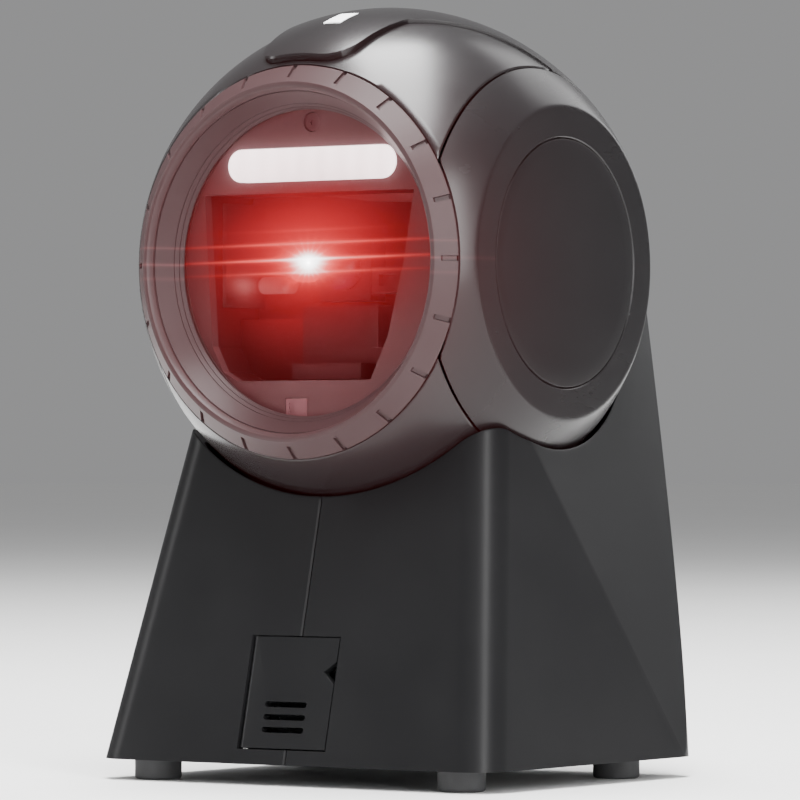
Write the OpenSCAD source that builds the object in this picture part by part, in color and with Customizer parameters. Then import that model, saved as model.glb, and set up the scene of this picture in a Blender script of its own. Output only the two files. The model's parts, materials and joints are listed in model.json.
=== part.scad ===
// Hands-free presentation barcode scanner: a ball head that tilts in a tapered stand.
// Millimetres, +Z up, the window faces -Y, origin on the resting surface under the middle.

/* [Stand] */
// Height of the rubber feet under the stand
foot_h = 4; // [3:0.5:6]
// Diameter of each rubber foot
foot_d = 9; // [8:0.2:11]
// Half width of the stand at its bottom edge
stand_half_w = 45.8; // [44:0.1:48]
// Inward lean of each side, in mm per mm of height
side_lean = 0.15; // [0.13:0.01:0.17]
// Distance of the front face in front of the origin at the bottom edge
front_y = 36.5; // [35:0.5:38]
// Backward lean of the front face, in mm per mm of height
front_lean = 0.24; // [0.22:0.01:0.26]
// Distance of the rear face behind the origin at the bottom edge
rear_y = 39.3; // [38.8:0.1:40]
// Backward lean of the rear face, in mm per mm of height
rear_lean = 0.132; // [0.13:0.002:0.14]
// Corner radius at the front of the stand
front_corner_r = 7; // [6:0.5:10]
// Corner radius at the rear of the stand
rear_corner_r = 8; // [7:0.5:10]
// Height of the top of the rear spine
spine_top = 104; // [100:1:106]
// Wall thickness of the stand shells
stand_wall = 2.4; // [2:0.1:2.8]

/* [Head] */
// Radius of the ball head
ball_r = 49.5; // [49:0.1:50]
// Height of the tilt axis above the resting surface
pivot_z = 98.6; // [98:0.1:99]
// Gap between the ball and its socket
socket_gap = 0.8; // [0.6:0.1:1]
// Wall thickness of the head shells
head_wall = 2.4; // [2:0.1:2.6]
// Distance of each cheek seam from the middle
cheek_seam_x = 32.5; // [31:0.5:33]
// Distance of each flat cheek from the middle
cheek_flat_x = 39.5; // [39:0.1:40]
// Radius of the inset disc on each cheek
cheek_disc_r = 23.6; // [22:0.2:24]
// Distance of the bezel joint in front of the tilt axis
bezel_y = 32.5; // [32:0.1:33]
// Number of tick slots round the bezel
tick_count = 20; // [12:2:24]

/* [Window] */
// Radius of the clear window opening
window_r = 29; // [28:0.5:29.5]
// Distance of the window's front face in front of the tilt axis
window_y = 29; // [28.8:0.1:29.2]
// Thickness of the window
window_t = 1; // [0.8:0.1:1.2]
// Length of the light bar
bar_len = 39; // [36:0.5:40]
// Height of the light bar
bar_h = 6.2; // [5.6:0.2:6.6]
// Height of the light bar's middle above the tilt axis
bar_z = 18.8; // [18.5:0.1:19]

/* [Service door] */
// Width of the service door
door_w = 20; // [18:0.5:21]
// Length of the service door up the front face
door_h = 21.4; // [20:0.2:22]
// Distance of the door's lower edge up the front face
door_low = 3.2; // [3:0.1:3.5]
// Thickness of the door
door_t = 1.8; // [1.6:0.1:2]

/* [Fits] */
// Clearance round pieces that move past each other
gap = 0.3; // [0.3:0.05:0.4]
// Radial clearance of the tilt axle and of the door pin
run_fit = 0.05; // [0.03:0.01:0.08]
// Clearance between pieces fixed to each other
seat_fit = 0.15; // [0.1:0.05:0.2]

/* [Hidden] */

$fn = 96;
stand_z = foot_h;
socket_r = ball_r + socket_gap;
bowl_r = socket_r + 2.2;
facet_dist = 48.5;
facet_pitch = 12.07;
facet_yaw = 5.6;
door_x = -1.2;
door_angle = atan(front_lean);
door_barrel_r = 1.1;
door_pin_r = 0.6;
door_axis_x = door_x - door_w / 2 + door_barrel_r;
plate_t = 2.4;
plate_top = stand_z + plate_t;
foot_x = 35.3;
foot_front_y = -29;
foot_rear_y = 24;
boss_x = 27;
boss_front_y = -28.5;
boss_rear_y = 32;
boss_r = 3.4;
boss_top = 22;
screw_r = 1.5;
axle_r = 3;
bush_r = 3.8;
stem_half_w = 6;
stem_half_t = 5;
stem_boss_r = 7;
stem_lean = 11.8;
stem_reach = 50;
stem_bend_z = pivot_z - stem_reach * cos(stem_lean);
stem_y = stem_reach * sin(stem_lean);
stem_flange_t = 3;
socket_z = 10.9;
socket_w = 16;
socket_h = 13;
socket_y = 24.8;
socket_depth = 15.2;
tray_y = 27.6;
tray_screw_z = 26.7;
bezel_bore_r = 32.3;
washer_x = stem_half_w + 0.8 + gap;
chassis_x = 9;
chassis_t = 2;
board_y = 18;
slot_half_w = stem_half_w + 0.8;
slot_front = 9;
slot_rear = 30.5;
far = 200;
arch_r = 60;
tongue_shift = 1.47;
tongue_r = 49.94;
middle_y = (rear_y + rear_lean * (spine_top - stand_z) - front_y) / 2;

// Moves the whole object so that its box stands centred on the origin
module placed() translate([0, -middle_y, 0]) children();

// Places children in the head's own frame, whose origin is the tilt axis
module at_head() translate([0, 0, pivot_z]) children();

// Turns a shape made about +Z to point forwards, so its height becomes distance to the front
module forwards() at_head() rotate([90, 0, 0]) children();

// Places children in the leaning frame of the stem inside the head
module on_stem() at_head() rotate([stem_lean, 0, 0]) children();

// Frame of the stand's front face: X across, Y up the face, Z out of the face
module at_front_face() translate([0, -front_y, stand_z]) rotate([90 - door_angle, 0, 0]) children();

// Repeats children at mirrored places left and right
module both_sides() { children(); mirror([1, 0, 0]) children(); }

// One round-cornered level section of the stand, inset from its outer surface
module stand_section(z, inset) {
    w = stand_half_w - side_lean * (z - stand_z) - inset;
    y_front = -front_y + front_lean * (z - stand_z) + inset;
    y_rear = rear_y + rear_lean * (z - stand_z) - inset;
    rf = front_corner_r - inset;
    rr = rear_corner_r - inset;
    translate([0, 0, z]) for (s = [-1, 1]) {
        translate([s * (w - rf), y_front + rf, 0]) cylinder(r = rf, h = 0.01, $fn = 64);
        translate([s * (w - rr), y_rear - rr, 0]) cylinder(r = rr, h = 0.01, $fn = 64);
    }
}

// Solid tapered body of the stand between two heights
module stand_body(z0, z1, inset) hull() {
    stand_section(z0, inset);
    stand_section(z1, inset);
}

// Half space outside the flat facet that cuts each rear corner
module facet_cut(inset) both_sides()
    rotate([0, -facet_pitch, facet_yaw])
        translate([facet_dist - inset, -far, -far]) cube(2 * far);

// Round-topped spine limit, seen from behind
module arch(inset) translate([0, far / 2, spine_top - arch_r]) rotate([90, 0, 0]) {
    cylinder(r = arch_r - inset, h = far);
    translate([-arch_r + inset, -far, 0]) cube([2 * (arch_r - inset), far, far]);
}

module stand_outer() intersection() {
    difference() {
        stand_body(stand_z, spine_top + 4, 0);
        facet_cut(0);
    }
    arch(0);
}

module stand_inner() intersection() {
    difference() {
        stand_body(stand_z - 1, spine_top + 4, stand_wall);
        facet_cut(stand_wall);
    }
    arch(stand_wall);
}

// Wedge of the front face that the service door and its clearance take
module door_opening() at_front_face()
    translate([door_x - door_w / 2 - gap, door_low - gap, -4])
        cube([door_w + 2 * gap, door_h + 2 * gap, 6]);

// Bosses that take the bottom screws, joined to the walls by ribs
module shell_bosses() {
    for (y = [boss_front_y, boss_rear_y]) {
        translate([boss_x, y, plate_top + 0.05]) cylinder(r = boss_r, h = boss_top - plate_top);
        translate([boss_x - 1, y + (y < 0 ? -7 : 0), plate_top + 0.05])
            cube([2, 7, boss_top - plate_top]);
    }
    translate([stand_half_w - 8, -2, plate_top + 0.05]) cube([4, 2, 12]);
}

// Small lugs above and below the door that carry its pin
module door_lugs() at_front_face() for (y = [door_low - gap - 1.8, door_low + door_h + gap])
    translate([door_axis_x - 1.6, y, -3.6]) cube([3.2, 1.8, 3.5]);

// Half of the stand: outer skin, ball socket, spine and bosses, for x above zero
module stand_half() difference() {
    intersection() {
        stand_outer();
        union() {
            difference() {
                stand_outer();
                stand_inner();
            }
            difference() {
                at_head() sphere(r = bowl_r);
                translate([0, 0, 20]) cylinder(r = 27, h = 60);
            }
            shell_bosses();
        }
        translate([0, -far, 0]) cube([far, 2 * far, far]);
    }
    at_head() sphere(r = socket_r);
    translate([-9, rear_y - 8, socket_z - 0.2]) cube([18, 20, socket_h + 0.4]);
    for (y = [boss_front_y, boss_rear_y])
        translate([boss_x, y, plate_top - 1]) cylinder(r = screw_r, h = boss_top - plate_top);
}

module stand_shell_left() color([0.13, 0.13, 0.14]) placed() difference() {
    union() {
        mirror([1, 0, 0]) stand_half();
        intersection() {
            door_lugs();
            stand_outer();
        }
    }
    door_opening();
    at_front_face() translate([door_axis_x, door_low - 1.8, -door_barrel_r]) rotate([-90, 0, 0])
        cylinder(r = door_pin_r + run_fit, h = door_h + 3.6);
}

module stand_shell_right() color([0.15, 0.15, 0.16]) placed() difference() {
    stand_half();
    door_opening();
}

module bottom_plate() color([0.2, 0.2, 0.21]) placed() difference() {
    stand_body(stand_z, plate_top, stand_wall + seat_fit);
    for (x = [-boss_x, boss_x], y = [boss_front_y, boss_rear_y]) translate([x, y, stand_z - 1]) {
        cylinder(r = screw_r + seat_fit, h = 5);
        cylinder(r = 3.1, h = 2.1);
    }
    for (x = [-foot_x, foot_x], y = [foot_front_y, foot_rear_y])
        translate([x, y, stand_z - 1]) cylinder(d = foot_d + 0.1, h = 2);
    for (x = [-16, 16], y = [stem_y - 11, stem_y + 2]) translate([x, y, stand_z - 1])
        cylinder(r = screw_r + seat_fit, h = 5);
    at_front_face() translate([door_axis_x - 1.8, 0, -3.9]) cube([3.6, 4, 4]);
}

module rubber_feet() color([0.08, 0.08, 0.08]) placed()
    for (x = [-foot_x, foot_x], y = [foot_front_y, foot_rear_y]) translate([x, y, 0])
        rotate_extrude() polygon([[0, 0], [foot_d / 2 - 0.6, 0], [foot_d / 2, 0.6],
                                  [foot_d / 2, stand_z + 1], [0, stand_z + 1]]);

// A pan-head screw standing on its shank, head at the bottom
module screw(r, len, head_r, head_h) difference() {
    union() {
        cylinder(r = r, h = len);
        cylinder(r = head_r, h = head_h);
    }
    translate([0, 0, -1]) cylinder(r = r * 0.7, h = 1 + head_h / 2, $fn = 6);
}

module plate_screws() color([0.7, 0.7, 0.72]) placed()
    for (x = [-boss_x, boss_x], y = [boss_front_y, boss_rear_y])
        translate([x, y, stand_z + 0.1]) screw(screw_r - 0.05, 14, 2.9, 0.9);

module ballast_blocks() color([0.35, 0.35, 0.36]) placed() both_sides() difference() {
    translate([24, -20, plate_top + 0.05]) cube([13.5, 38, 15]);
    for (y = [-12, 10]) translate([30.5, y, plate_top]) {
        cylinder(r = screw_r + seat_fit, h = 20);
        translate([0, 0, 12.5]) cylinder(r = 3.1, h = 5);
    }
}

module ballast_screws() color([0.7, 0.7, 0.72]) placed() for (x = [-30.5, 30.5], y = [-12, 10])
    translate([x, y, plate_top + 14.6]) rotate([180, 0, 0]) screw(screw_r, 14.5, 2.9, 1.8);

module interface_board() color([0.05, 0.3, 0.15]) placed() difference() {
    translate([-20, 17, 9.2]) cube([40, 19, 1.6]);
    for (x = [-17, 17]) translate([x, 20, 9]) cylinder(r = 1.2, h = 3);
}

module cable_socket() color([0.12, 0.12, 0.13]) placed() difference() {
    translate([-socket_w / 2, socket_y, socket_z]) cube([socket_w, socket_depth, socket_h]);
    translate([-6, socket_y + 4, socket_z + 2.2]) cube([12, socket_depth, 7.2]);
    translate([-3, socket_y + 4, socket_z + 9.3]) cube([6, socket_depth, 2.2]);
}

// Frame whose +Z leaves the middle of the door's grille along the face normal
module at_speaker() at_front_face() translate([door_x, door_low + door_h / 2, 0]) children();

module speaker_bracket() color([0.25, 0.25, 0.27]) placed() difference() {
    union() {
        at_speaker() translate([-11, -8.6, -13]) cube([22, 20, 2]);
        translate([-12, -27, plate_top + 0.05]) cube([22, 9, 1.6]);
    }
    at_speaker() translate([0, 0, -14]) cylinder(r = 5, h = 5);
    translate([-far, -far, 0]) cube([2 * far, 2 * far, plate_top + 0.05]);
}

module speaker_frame() color([0.3, 0.3, 0.32]) placed() at_speaker() translate([0, 0.9, -10.95])
    rotate_extrude() polygon([[0, 0], [6, 0], [6, 2], [9, 3.6], [9, 5], [7.8, 5], [7.8, 4.2], [0, 2.6]]);

module speaker_cone() color([0.1, 0.1, 0.1]) placed() at_speaker() translate([0, 0.9, -10.95])
    rotate_extrude() polygon([[0, 3.2], [2.6, 3.2], [7.5, 4.4], [7.5, 5], [6.6, 5], [3, 3.9], [0, 4.5]]);

module service_door() color([0.16, 0.16, 0.17]) placed() at_front_face() difference() {
    union() {
        translate([door_axis_x, door_low, -door_t]) cube([door_w - door_barrel_r, door_h, door_t]);
        translate([door_axis_x, door_low, -door_barrel_r]) rotate([-90, 0, 0])
            cylinder(r = door_barrel_r, h = door_h);
    }
    for (i = [0 : 2]) translate([-1.5, 6.75 + 2.45 * i, -3]) {
        translate([-4.3, -0.55, 0]) cube([8.6, 1.1, 5]);
        for (x = [-4.3, 4.3]) translate([x, 0, 0]) cylinder(r = 0.55, h = 5);
    }
    translate([door_x + door_w / 2, 17.9, -3])
        linear_extrude(5) polygon([[1, -3], [1, 3], [-2.6, 0.2]]);
    translate([door_axis_x, 0, -door_barrel_r]) rotate([-90, 0, 0])
        cylinder(r = door_pin_r, h = 40);
}

module door_pin() color([0.75, 0.75, 0.77]) placed() at_front_face()
    translate([door_axis_x, door_low - 1.5, -door_barrel_r]) rotate([-90, 0, 0])
        cylinder(r = door_pin_r, h = door_h + 3);

// Side outline of the stem: upright from its flange, then mitred back towards the tilt axis
module stem_outline() polygon([
    [stem_y - stem_half_t, plate_top + 1],
    [stem_y + stem_half_t, plate_top + 1],
    [stem_y + stem_half_t, stem_bend_z + stem_half_t * tan(stem_lean / 2)],
    [stem_half_t * cos(stem_lean), pivot_z + stem_half_t * sin(stem_lean)],
    [-stem_half_t * cos(stem_lean), pivot_z - stem_half_t * sin(stem_lean)],
    [stem_y - stem_half_t, stem_bend_z - stem_half_t * tan(stem_lean / 2)]]);

module tilt_stem() color([0.45, 0.45, 0.47]) placed() difference() {
    union() {
        translate([-21, stem_y - 15, plate_top + 0.05]) cube([42, 21.5, stem_flange_t]);
        rotate([90, 0, 90]) linear_extrude(2 * stem_half_w, center = true) stem_outline();
        for (s = [-1, 1]) translate([s * 5, stem_y, plate_top + stem_flange_t])
            rotate([90, 0, 0]) linear_extrude(4, center = true)
                polygon([[0, 0], [s * 7, 0], [0, 22]]);
        at_head() rotate([0, 90, 0])
            cylinder(r = stem_boss_r, h = 2 * stem_half_w + 0.2, center = true);
    }
    at_head() rotate([0, 90, 0]) cylinder(r = bush_r, h = 40, center = true);
    for (x = [-16, 16], y = [stem_y - 11, stem_y + 2]) translate([x, y, 0])
        cylinder(r = screw_r + seat_fit, h = 20);
}

module stem_screws() color([0.7, 0.7, 0.72]) placed()
    for (x = [-16, 16], y = [stem_y - 11, stem_y + 2])
    translate([x, y, plate_top + stem_flange_t + 1.9]) rotate([180, 0, 0])
        screw(screw_r, 6.5, 2.9, 1.8);

// Two flanged bushes, pressed into the stem from both sides
module stem_bushes() color([0.72, 0.55, 0.3]) placed() at_head() both_sides() rotate([0, 90, 0])
    rotate_extrude() polygon([[axle_r + run_fit, 0.5], [bush_r, 0.5], [bush_r, stem_half_w + 0.12],
                              [5.6, stem_half_w + 0.12], [5.6, stem_half_w + 0.8],
                              [axle_r + run_fit, stem_half_w + 0.8]]);

// Flat lead clipped up the back of the stem, from the interface board to the tilt joint
module stem_harness() color([0.08, 0.08, 0.09]) placed() {
    on_stem() translate([-2.5, stem_half_t + 0.4, -stem_reach]) cube([5, 1.4, stem_reach - 11]);
    on_stem() translate([-4, stem_half_t + 0.05, -16]) cube([8, 2.6, 5]);
    translate([-2.5, stem_y + stem_half_t + 0.4, 12.6]) cube([5, 1.4, stem_bend_z - 12.6]);
    translate([-2.5, stem_y + stem_half_t + 0.4, 12.6]) cube([5, 8, 1.4]);
    translate([-4, stem_y + stem_half_t + 4, 10.85]) cube([8, 4.6, 4]);
}

module harness_clips() color([0.2, 0.2, 0.22]) placed() for (z = [22, 38])
    translate([0, stem_y + stem_half_t, z]) difference() {
        translate([-4.5, 0.05, 0]) cube([9, 2.6, 4]);
        translate([-2.6, -1, -1]) cube([5.2, 2.9, 6]);
    }

// Spherical wall of the head
module ball_wall() difference() {
    sphere(r = ball_r);
    sphere(r = ball_r - head_wall);
}

// Plan outline of the rear shell: full width behind, a tongue running forwards on top
module tongue_plan(grow) union() {
    hull() {
        translate([-4.5, -25.2]) circle(r = 6.3 + grow, $fn = 48);
        translate([4.5, -25.2]) circle(r = 6.3 + grow, $fn = 48);
        translate([-12.8 - grow, -14]) square([25.6 + 2 * grow, 1]);
    }
    polygon([for (t = [0 : 0.125 : 1])
                 [12.8 + grow + (cheek_seam_x - 12.8) * (1 - cos(90 * t)), -14 + 20 * sin(90 * t) * t],
             [cheek_seam_x + 1 + grow, 60], [-cheek_seam_x - 1 - grow, 60],
             for (t = [1 : -0.125 : 0])
                 [-12.8 - grow - (cheek_seam_x - 12.8) * (1 - cos(90 * t)),
                  -14 + 20 * sin(90 * t) * t]]);
}

// Zone of the head that belongs to the rear shell
module rear_zone(grow) union() {
    linear_extrude(60) tongue_plan(grow);
    translate([-60, 6 - grow, -60]) cube([120, 60, 61]);
}

// Middle band of the head between the two cheek seams, behind the bezel joint
module band_zone() translate([-cheek_seam_x, -bezel_y, -60])
    cube([2 * cheek_seam_x, 100, 120]);

// Clearance slot under the head for the stem
module stem_slot() translate([-slot_half_w, -slot_front, -60])
    cube([2 * slot_half_w, slot_front + slot_rear, 40]);

// Collar of the front shell that the bezel's spigot plugs into, joined to the band above and below
module collar() rotate([90, 0, 0]) {
    intersection() {
        rotate_extrude() polygon([[34, 24.5], [39.8, 24.5], [38.5, 26.5], [36.6, 29], [34, 29]]);
        cube([2 * (cheek_flat_x - head_wall - seat_fit), 120, 120], center = true);
    }
    intersection() {
        rotate_extrude() polygon([[34, 24.5], [40.7, 24.5], [36.1, 31.4], [34, 31.4]]);
        translate([-cheek_seam_x, -60, 0]) cube([2 * cheek_seam_x, 120, 60]);
    }
}

module front_shell() color([0.14, 0.14, 0.15]) placed() at_head() difference() {
    union() {
        intersection() {
            ball_wall();
            band_zone();
        }
        collar();
    }
    rear_zone(seat_fit);
    stem_slot();
}

// Raised skin of the tongue: a slightly larger sphere set forwards
module tongue_skin() difference() {
    translate([0, -tongue_shift, 0]) sphere(r = tongue_r);
    sphere(r = ball_r - head_wall);
}

module rear_shell() color([0.16, 0.16, 0.17]) placed() at_head() difference() {
    union() {
        intersection() {
            ball_wall();
            band_zone();
            rear_zone(0);
        }
        intersection() {
            tongue_skin();
            translate([0, 0, 20]) linear_extrude(60) intersection() {
                tongue_plan(0);
                translate([-cheek_seam_x, -bezel_y]) square([2 * cheek_seam_x, bezel_y + 13]);
            }
        }
    }
    stem_slot();
    translate([-2.2, -21, 40]) cube([4.4, 6, 20]);
    tongue_groove();
}

// Fine groove from the status light to the tip of the tongue
module tongue_groove() intersection() {
    translate([-0.25, -34, 0]) cube([0.5, 13.1, 60]);
    difference() {
        sphere(r = 60);
        translate([0, -tongue_shift, 0]) sphere(r = tongue_r - 0.4);
    }
}

// Cheek: the ball's side cap with its flat face and the recess for the disc
module cheek_shell() at_head() difference() {
    intersection() {
        sphere(r = ball_r);
        translate([cheek_seam_x, -bezel_y, -60]) cube([cheek_flat_x - cheek_seam_x, 100, 120]);
    }
    intersection() {
        sphere(r = ball_r - head_wall);
        translate([0, -60, -60]) cube([cheek_flat_x - head_wall, 120, 120]);
    }
    translate([cheek_flat_x - 1.2, 0, 0]) rotate([0, 90, 0])
        cylinder(r = cheek_disc_r + seat_fit, h = 5);
    for (z = [-14, 14]) translate([0, 8, z]) rotate([0, 90, 0])
        cylinder(r = screw_r + seat_fit, h = 60);
}

module cheek_shell_right() color([0.15, 0.15, 0.16]) placed() cheek_shell();
module cheek_shell_left() color([0.15, 0.15, 0.16]) placed() mirror([1, 0, 0]) cheek_shell();

module cheek_disc() difference() {
    at_head() translate([cheek_flat_x - 1.15, 0, 0]) rotate([0, 90, 0])
        rotate_extrude() polygon([[0, 0], [cheek_disc_r, 0], [cheek_disc_r, 0.75],
                                  [cheek_disc_r - 0.4, 1.15], [0, 1.15]]);
    at_head() for (z = [-14, 14]) translate([cheek_flat_x - 2, 8, z]) rotate([0, 90, 0])
        cylinder(r = 3.1, h = 1.5);
}

module cheek_disc_right() color([0.17, 0.17, 0.18]) placed() cheek_disc();
module cheek_disc_left() color([0.17, 0.17, 0.18]) placed() mirror([1, 0, 0]) cheek_disc();

module cheek_screws() color([0.7, 0.7, 0.72]) placed() at_head() both_sides() for (z = [-14, 14])
    translate([cheek_flat_x - 0.75, 8, z]) rotate([0, -90, 0])
        screw(screw_r - 0.1, 9, 2.8, 0.4);

// Front bezel: conical face between the outer edge and the crest, tick slots, inner spigot
module bezel_ring() color([0.3, 0.27, 0.29]) placed() forwards() difference() {
    rotate_extrude($fn = 144)
        polygon([[33.9, bezel_y], [37.1, bezel_y], [37.1, 32.7], [33.9, 35.8], [33.3, 35.9],
                 [32.8, 35.6], [bezel_bore_r, 34.7], [bezel_bore_r, 24.5], [33.9, 24.5]]);
    for (i = [0 : tick_count - 1]) rotate([0, 0, 360 / tick_count * i])
        translate([36.1, 0, 33.6]) rotate([0, 44, 0]) translate([-0.2, -0.5, -0.5])
            cube([3, 1, 2]);
}

module window_retainer() color([0.25, 0.22, 0.24]) placed() forwards() rotate_extrude($fn = 144)
    polygon([[window_r, window_y + 0.3], [31.1, 32.6], [31.2, 32.3], [31.4, 33.1], [32.1, 34.2],
             [bezel_bore_r - 0.05, 34.2], [bezel_bore_r - 0.05, window_y + 0.02],
             [window_r, window_y + 0.02]]);

module scan_window() color([0.6, 0.1, 0.1, 0.35]) placed() forwards()
    translate([0, 0, window_y - window_t]) cylinder(r = 31.6, h = window_t, $fn = 144);

module window_gasket() color([0.06, 0.06, 0.06]) placed() forwards() translate([0, 0, tray_y + 0.02])
    difference() {
        cylinder(r = 31.8, h = window_y - window_t - tray_y - 0.04);
        translate([0, 0, -1]) cylinder(r = 29.4, h = 3);
    }

// Stadium outline of the light bar
module bar_outline(grow) for (s = [-1, 1]) {
    translate([s * (bar_len - bar_h) / 2, bar_z]) circle(d = bar_h + grow);
    translate([s > 0 ? 0 : -(bar_len - bar_h) / 2, bar_z - (bar_h + grow) / 2])
        square([(bar_len - bar_h) / 2, bar_h + grow]);
}

// Outline of the opening into the optical cavity
module cavity_outline() polygon([[-25.2, 13.4], [23.6, 13.4], [21.2, 0], [17.6, -14], [13.6, -22.2],
                                 [-17.5, -22.2], [-20.8, -20.4], [-23.4, -15.5]]);

module optical_tray() color([0.32, 0.2, 0.22]) placed() forwards() difference() {
    union() {
        translate([0, 0, tray_y - 2]) cylinder(r = 32, h = 2);
        translate([0, tray_screw_z, tray_y - 5]) cylinder(r = 2.9, h = 4);
    }
    translate([0, 0, tray_y - 10]) linear_extrude(20) cavity_outline();
    translate([0, 0, tray_y - 10]) linear_extrude(20) bar_outline(2 * seat_fit);
    translate([0, tray_screw_z, tray_y - 10]) cylinder(r = 0.9, h = 20);
    translate([0, tray_screw_z, tray_y - 1.4]) cylinder(r = 1.9, h = 5);
    translate([-6.1, -29.7, tray_y - 3]) cube([5.1, 4.2, 5]);
}

module light_bar() color([0.97, 0.97, 1]) placed() forwards() translate([0, 0, 24.2])
    linear_extrude(tray_y - 24.2 + 0.1) bar_outline(0);

module light_bar_board() color([0.9, 0.9, 0.88]) placed() forwards()
    translate([-20.3, bar_z - 3.8, 22.9]) cube([40.6, 7.6, 1.2]);

module tray_screw() color([0.6, 0.6, 0.62]) placed() forwards() translate([0, tray_screw_z, tray_y - 0.3])
    rotate([180, 0, 0]) screw(0.85, 4.5, 1.75, 0.9);

// Housing behind the tray: walls of the optical cavity, shallower below for the stem's swing
module cavity_housing() color([0.2, 0.14, 0.15]) placed() forwards() difference() {
    cavity_prism(1.06, 16.2, 10.2, -11.5);
    cavity_prism(1.01, 17.7, 11.7, -10.2);
}

// The cavity's outline, scaled and run forwards from its shallow lower floor and deep upper floor
module cavity_prism(k, floor_low, floor_high, split_z) {
    translate([0, 0, floor_low]) linear_extrude(tray_y - 2.05 - floor_low) scale([k, k]) cavity_outline();
    translate([0, 0, floor_high]) linear_extrude(tray_y - 2.05 - floor_high) intersection() {
        scale([k, k]) cavity_outline();
        translate([-40, split_z]) square([80, 40]);
    }
}

module step_bracket() color([0.35, 0.24, 0.26]) placed() forwards() {
    translate([-8, -19, 17.75]) cube([20, 11, 1.5]);
    translate([-8, -21.9, 17.75]) cube([16, 3, 5]);
    translate([10.4, -16, 17.75]) cube([1.6, 8, 5]);
}

module side_block() color([0.28, 0.2, 0.22]) placed() forwards() translate([6.6, -5.6, 11.75])
    difference() {
        cube([7.2, 5, 5.4]);
        translate([1.6, 1.4, 4]) cube([4, 2.2, 3]);
    }

module side_mirror() color([0.8, 0.8, 0.85]) placed() forwards() translate([-23.4, -8, 11.8])
    cube([0.9, 20, 12.5]);

// Thin slanted mirror along the top of the cavity
module top_mirror() color([0.6, 0.4, 0.42]) placed() forwards() translate([0, 0, 19])
    linear_extrude(1) polygon([[-3, 13.1], [21.5, 13.1], [21, 11.3], [8, 11.8]]);

module imager_module() color([0.12, 0.12, 0.14]) placed() forwards() difference() {
    translate([-6, -7, 11.75]) cube([12, 12, 5]);
    translate([0, -1, 14]) cylinder(r = 3.9, h = 5);
}

module imager_lens() color([0.25, 0.2, 0.35]) placed() forwards() translate([0, -1, 14.05])
    rotate_extrude() polygon([[0, 0], [3.8, 0], [3.8, 4.6], [3.1, 4.6], [2.9, 4], [0, 4.4]]);

module aimer_lamp() color([1, 0.2, 0.15]) placed() forwards() translate([-11.6, -0.6, 11.75])
    rotate_extrude() polygon([[0, 0], [2.5, 0], [2.5, 3.4], [1.9, 4.6], [0.9, 5.3], [0, 5.5]]);

// A flat lamp package with round ends, lying across or standing up
module fill_lamp(turn) rotate([0, 0, turn]) linear_extrude(3.4) {
    for (s = [-1, 1]) translate([2.15 * s, 0]) circle(r = 1.7, $fn = 48);
    square([4.3, 3.4], center = true);
}

module fill_lamps() color([0.9, 0.85, 0.8]) placed() forwards() {
    translate([-18.4, -3.6, 11.75]) fill_lamp(0);
    translate([19.6, 4, 11.75]) fill_lamp(90);
}

module sensor_window() color([0.3, 0.2, 0.3]) placed() forwards() translate([-6, -29.6, tray_y - 1.6])
    difference() {
        cube([4.9, 4, 1.6]);
        for (i = [0 : 3]) translate([0.8, 0.6 + 0.75 * i, 1.4]) cube([i % 2 == 0 ? 1.6 : 1, 0.3, 1]);
    }

module sensor_board() color([0.05, 0.3, 0.15]) placed() forwards() translate([-6.6, -29.2, 24.2])
    cube([6.6, 4.8, 1.2]);

// Frame inside the head: two ears on the axle, a bridge, posts for the cheeks and the board
module head_chassis() color([0.5, 0.5, 0.52]) placed() at_head() difference() {
    union() {
        both_sides() {
            translate([chassis_x, -8, -14.5]) cube([chassis_t, 8 + board_y - 0.05, 33]);
            for (z = [-14, 14]) translate([chassis_x + 1, 8, z]) rotate([0, 90, 0])
                cylinder(r = 2.8, h = cheek_flat_x - head_wall - chassis_x - 1.05);
            translate([chassis_x, -10.15, 9]) cube([12, 2.2, 4.5]);
        }
        translate([-chassis_x - 1, -8, 16.5]) cube([2 * chassis_x + 2, 8 + board_y - 0.05, 2]);
    }
    rotate([0, 90, 0]) cylinder(r = axle_r + 0.02, h = 60, center = true);
    both_sides() for (z = [-14, 14]) translate([cheek_flat_x - 14, 8, z]) rotate([0, 90, 0])
        cylinder(r = screw_r - 0.05, h = 20);
}

module tilt_axle() color([0.75, 0.75, 0.77]) placed() at_head() rotate([0, 90, 0]) {
    translate([0, 0, -14]) cylinder(r = axle_r, h = 28);
    translate([0, 0, chassis_x + chassis_t + 0.05]) cylinder(r = 5, h = 2.4);
}

module axle_nut() color([0.7, 0.7, 0.72]) placed() at_head() rotate([0, -90, 0])
    translate([0, 0, chassis_x + chassis_t + 0.05]) difference() {
        cylinder(r = 5.4, h = 2.6, $fn = 6);
        translate([0, 0, -1]) cylinder(r = axle_r + 0.02, h = 5);
    }

module friction_washers() color([0.55, 0.3, 0.15]) placed() at_head() both_sides() rotate([0, 90, 0])
    rotate_extrude() polygon([[axle_r, washer_x], [6.2, washer_x], [6.2, chassis_x - 0.05],
                              [axle_r, chassis_x - 0.05]]);

module decoder_board() color([0.05, 0.3, 0.15]) placed() at_head() difference() {
    union() {
        translate([-30, board_y, -16]) cube([60, 1.6, 40]);
        translate([-10, board_y + 1.6, 2]) cube([20, 2, 14]);
        translate([-22, board_y + 1.6, -14]) cube([14, 4, 8]);
    }
    for (x = [-27, 27], z = [-13, 21]) translate([x, board_y - 1, z]) rotate([-90, 0, 0])
        cylinder(r = 1.2, h = 5);
    for (x = [-chassis_x - 1, chassis_x + 1]) translate([x, board_y - 1, -4]) rotate([-90, 0, 0])
        cylinder(r = 0.95, h = 5);
}

module board_screws() color([0.7, 0.7, 0.72]) placed() at_head() for (s = [-1, 1])
    translate([s * (chassis_x + 1), board_y + 3, -4]) rotate([90, 0, 0]) screw(0.9, 2.9, 1.8, 1.3);

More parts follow.
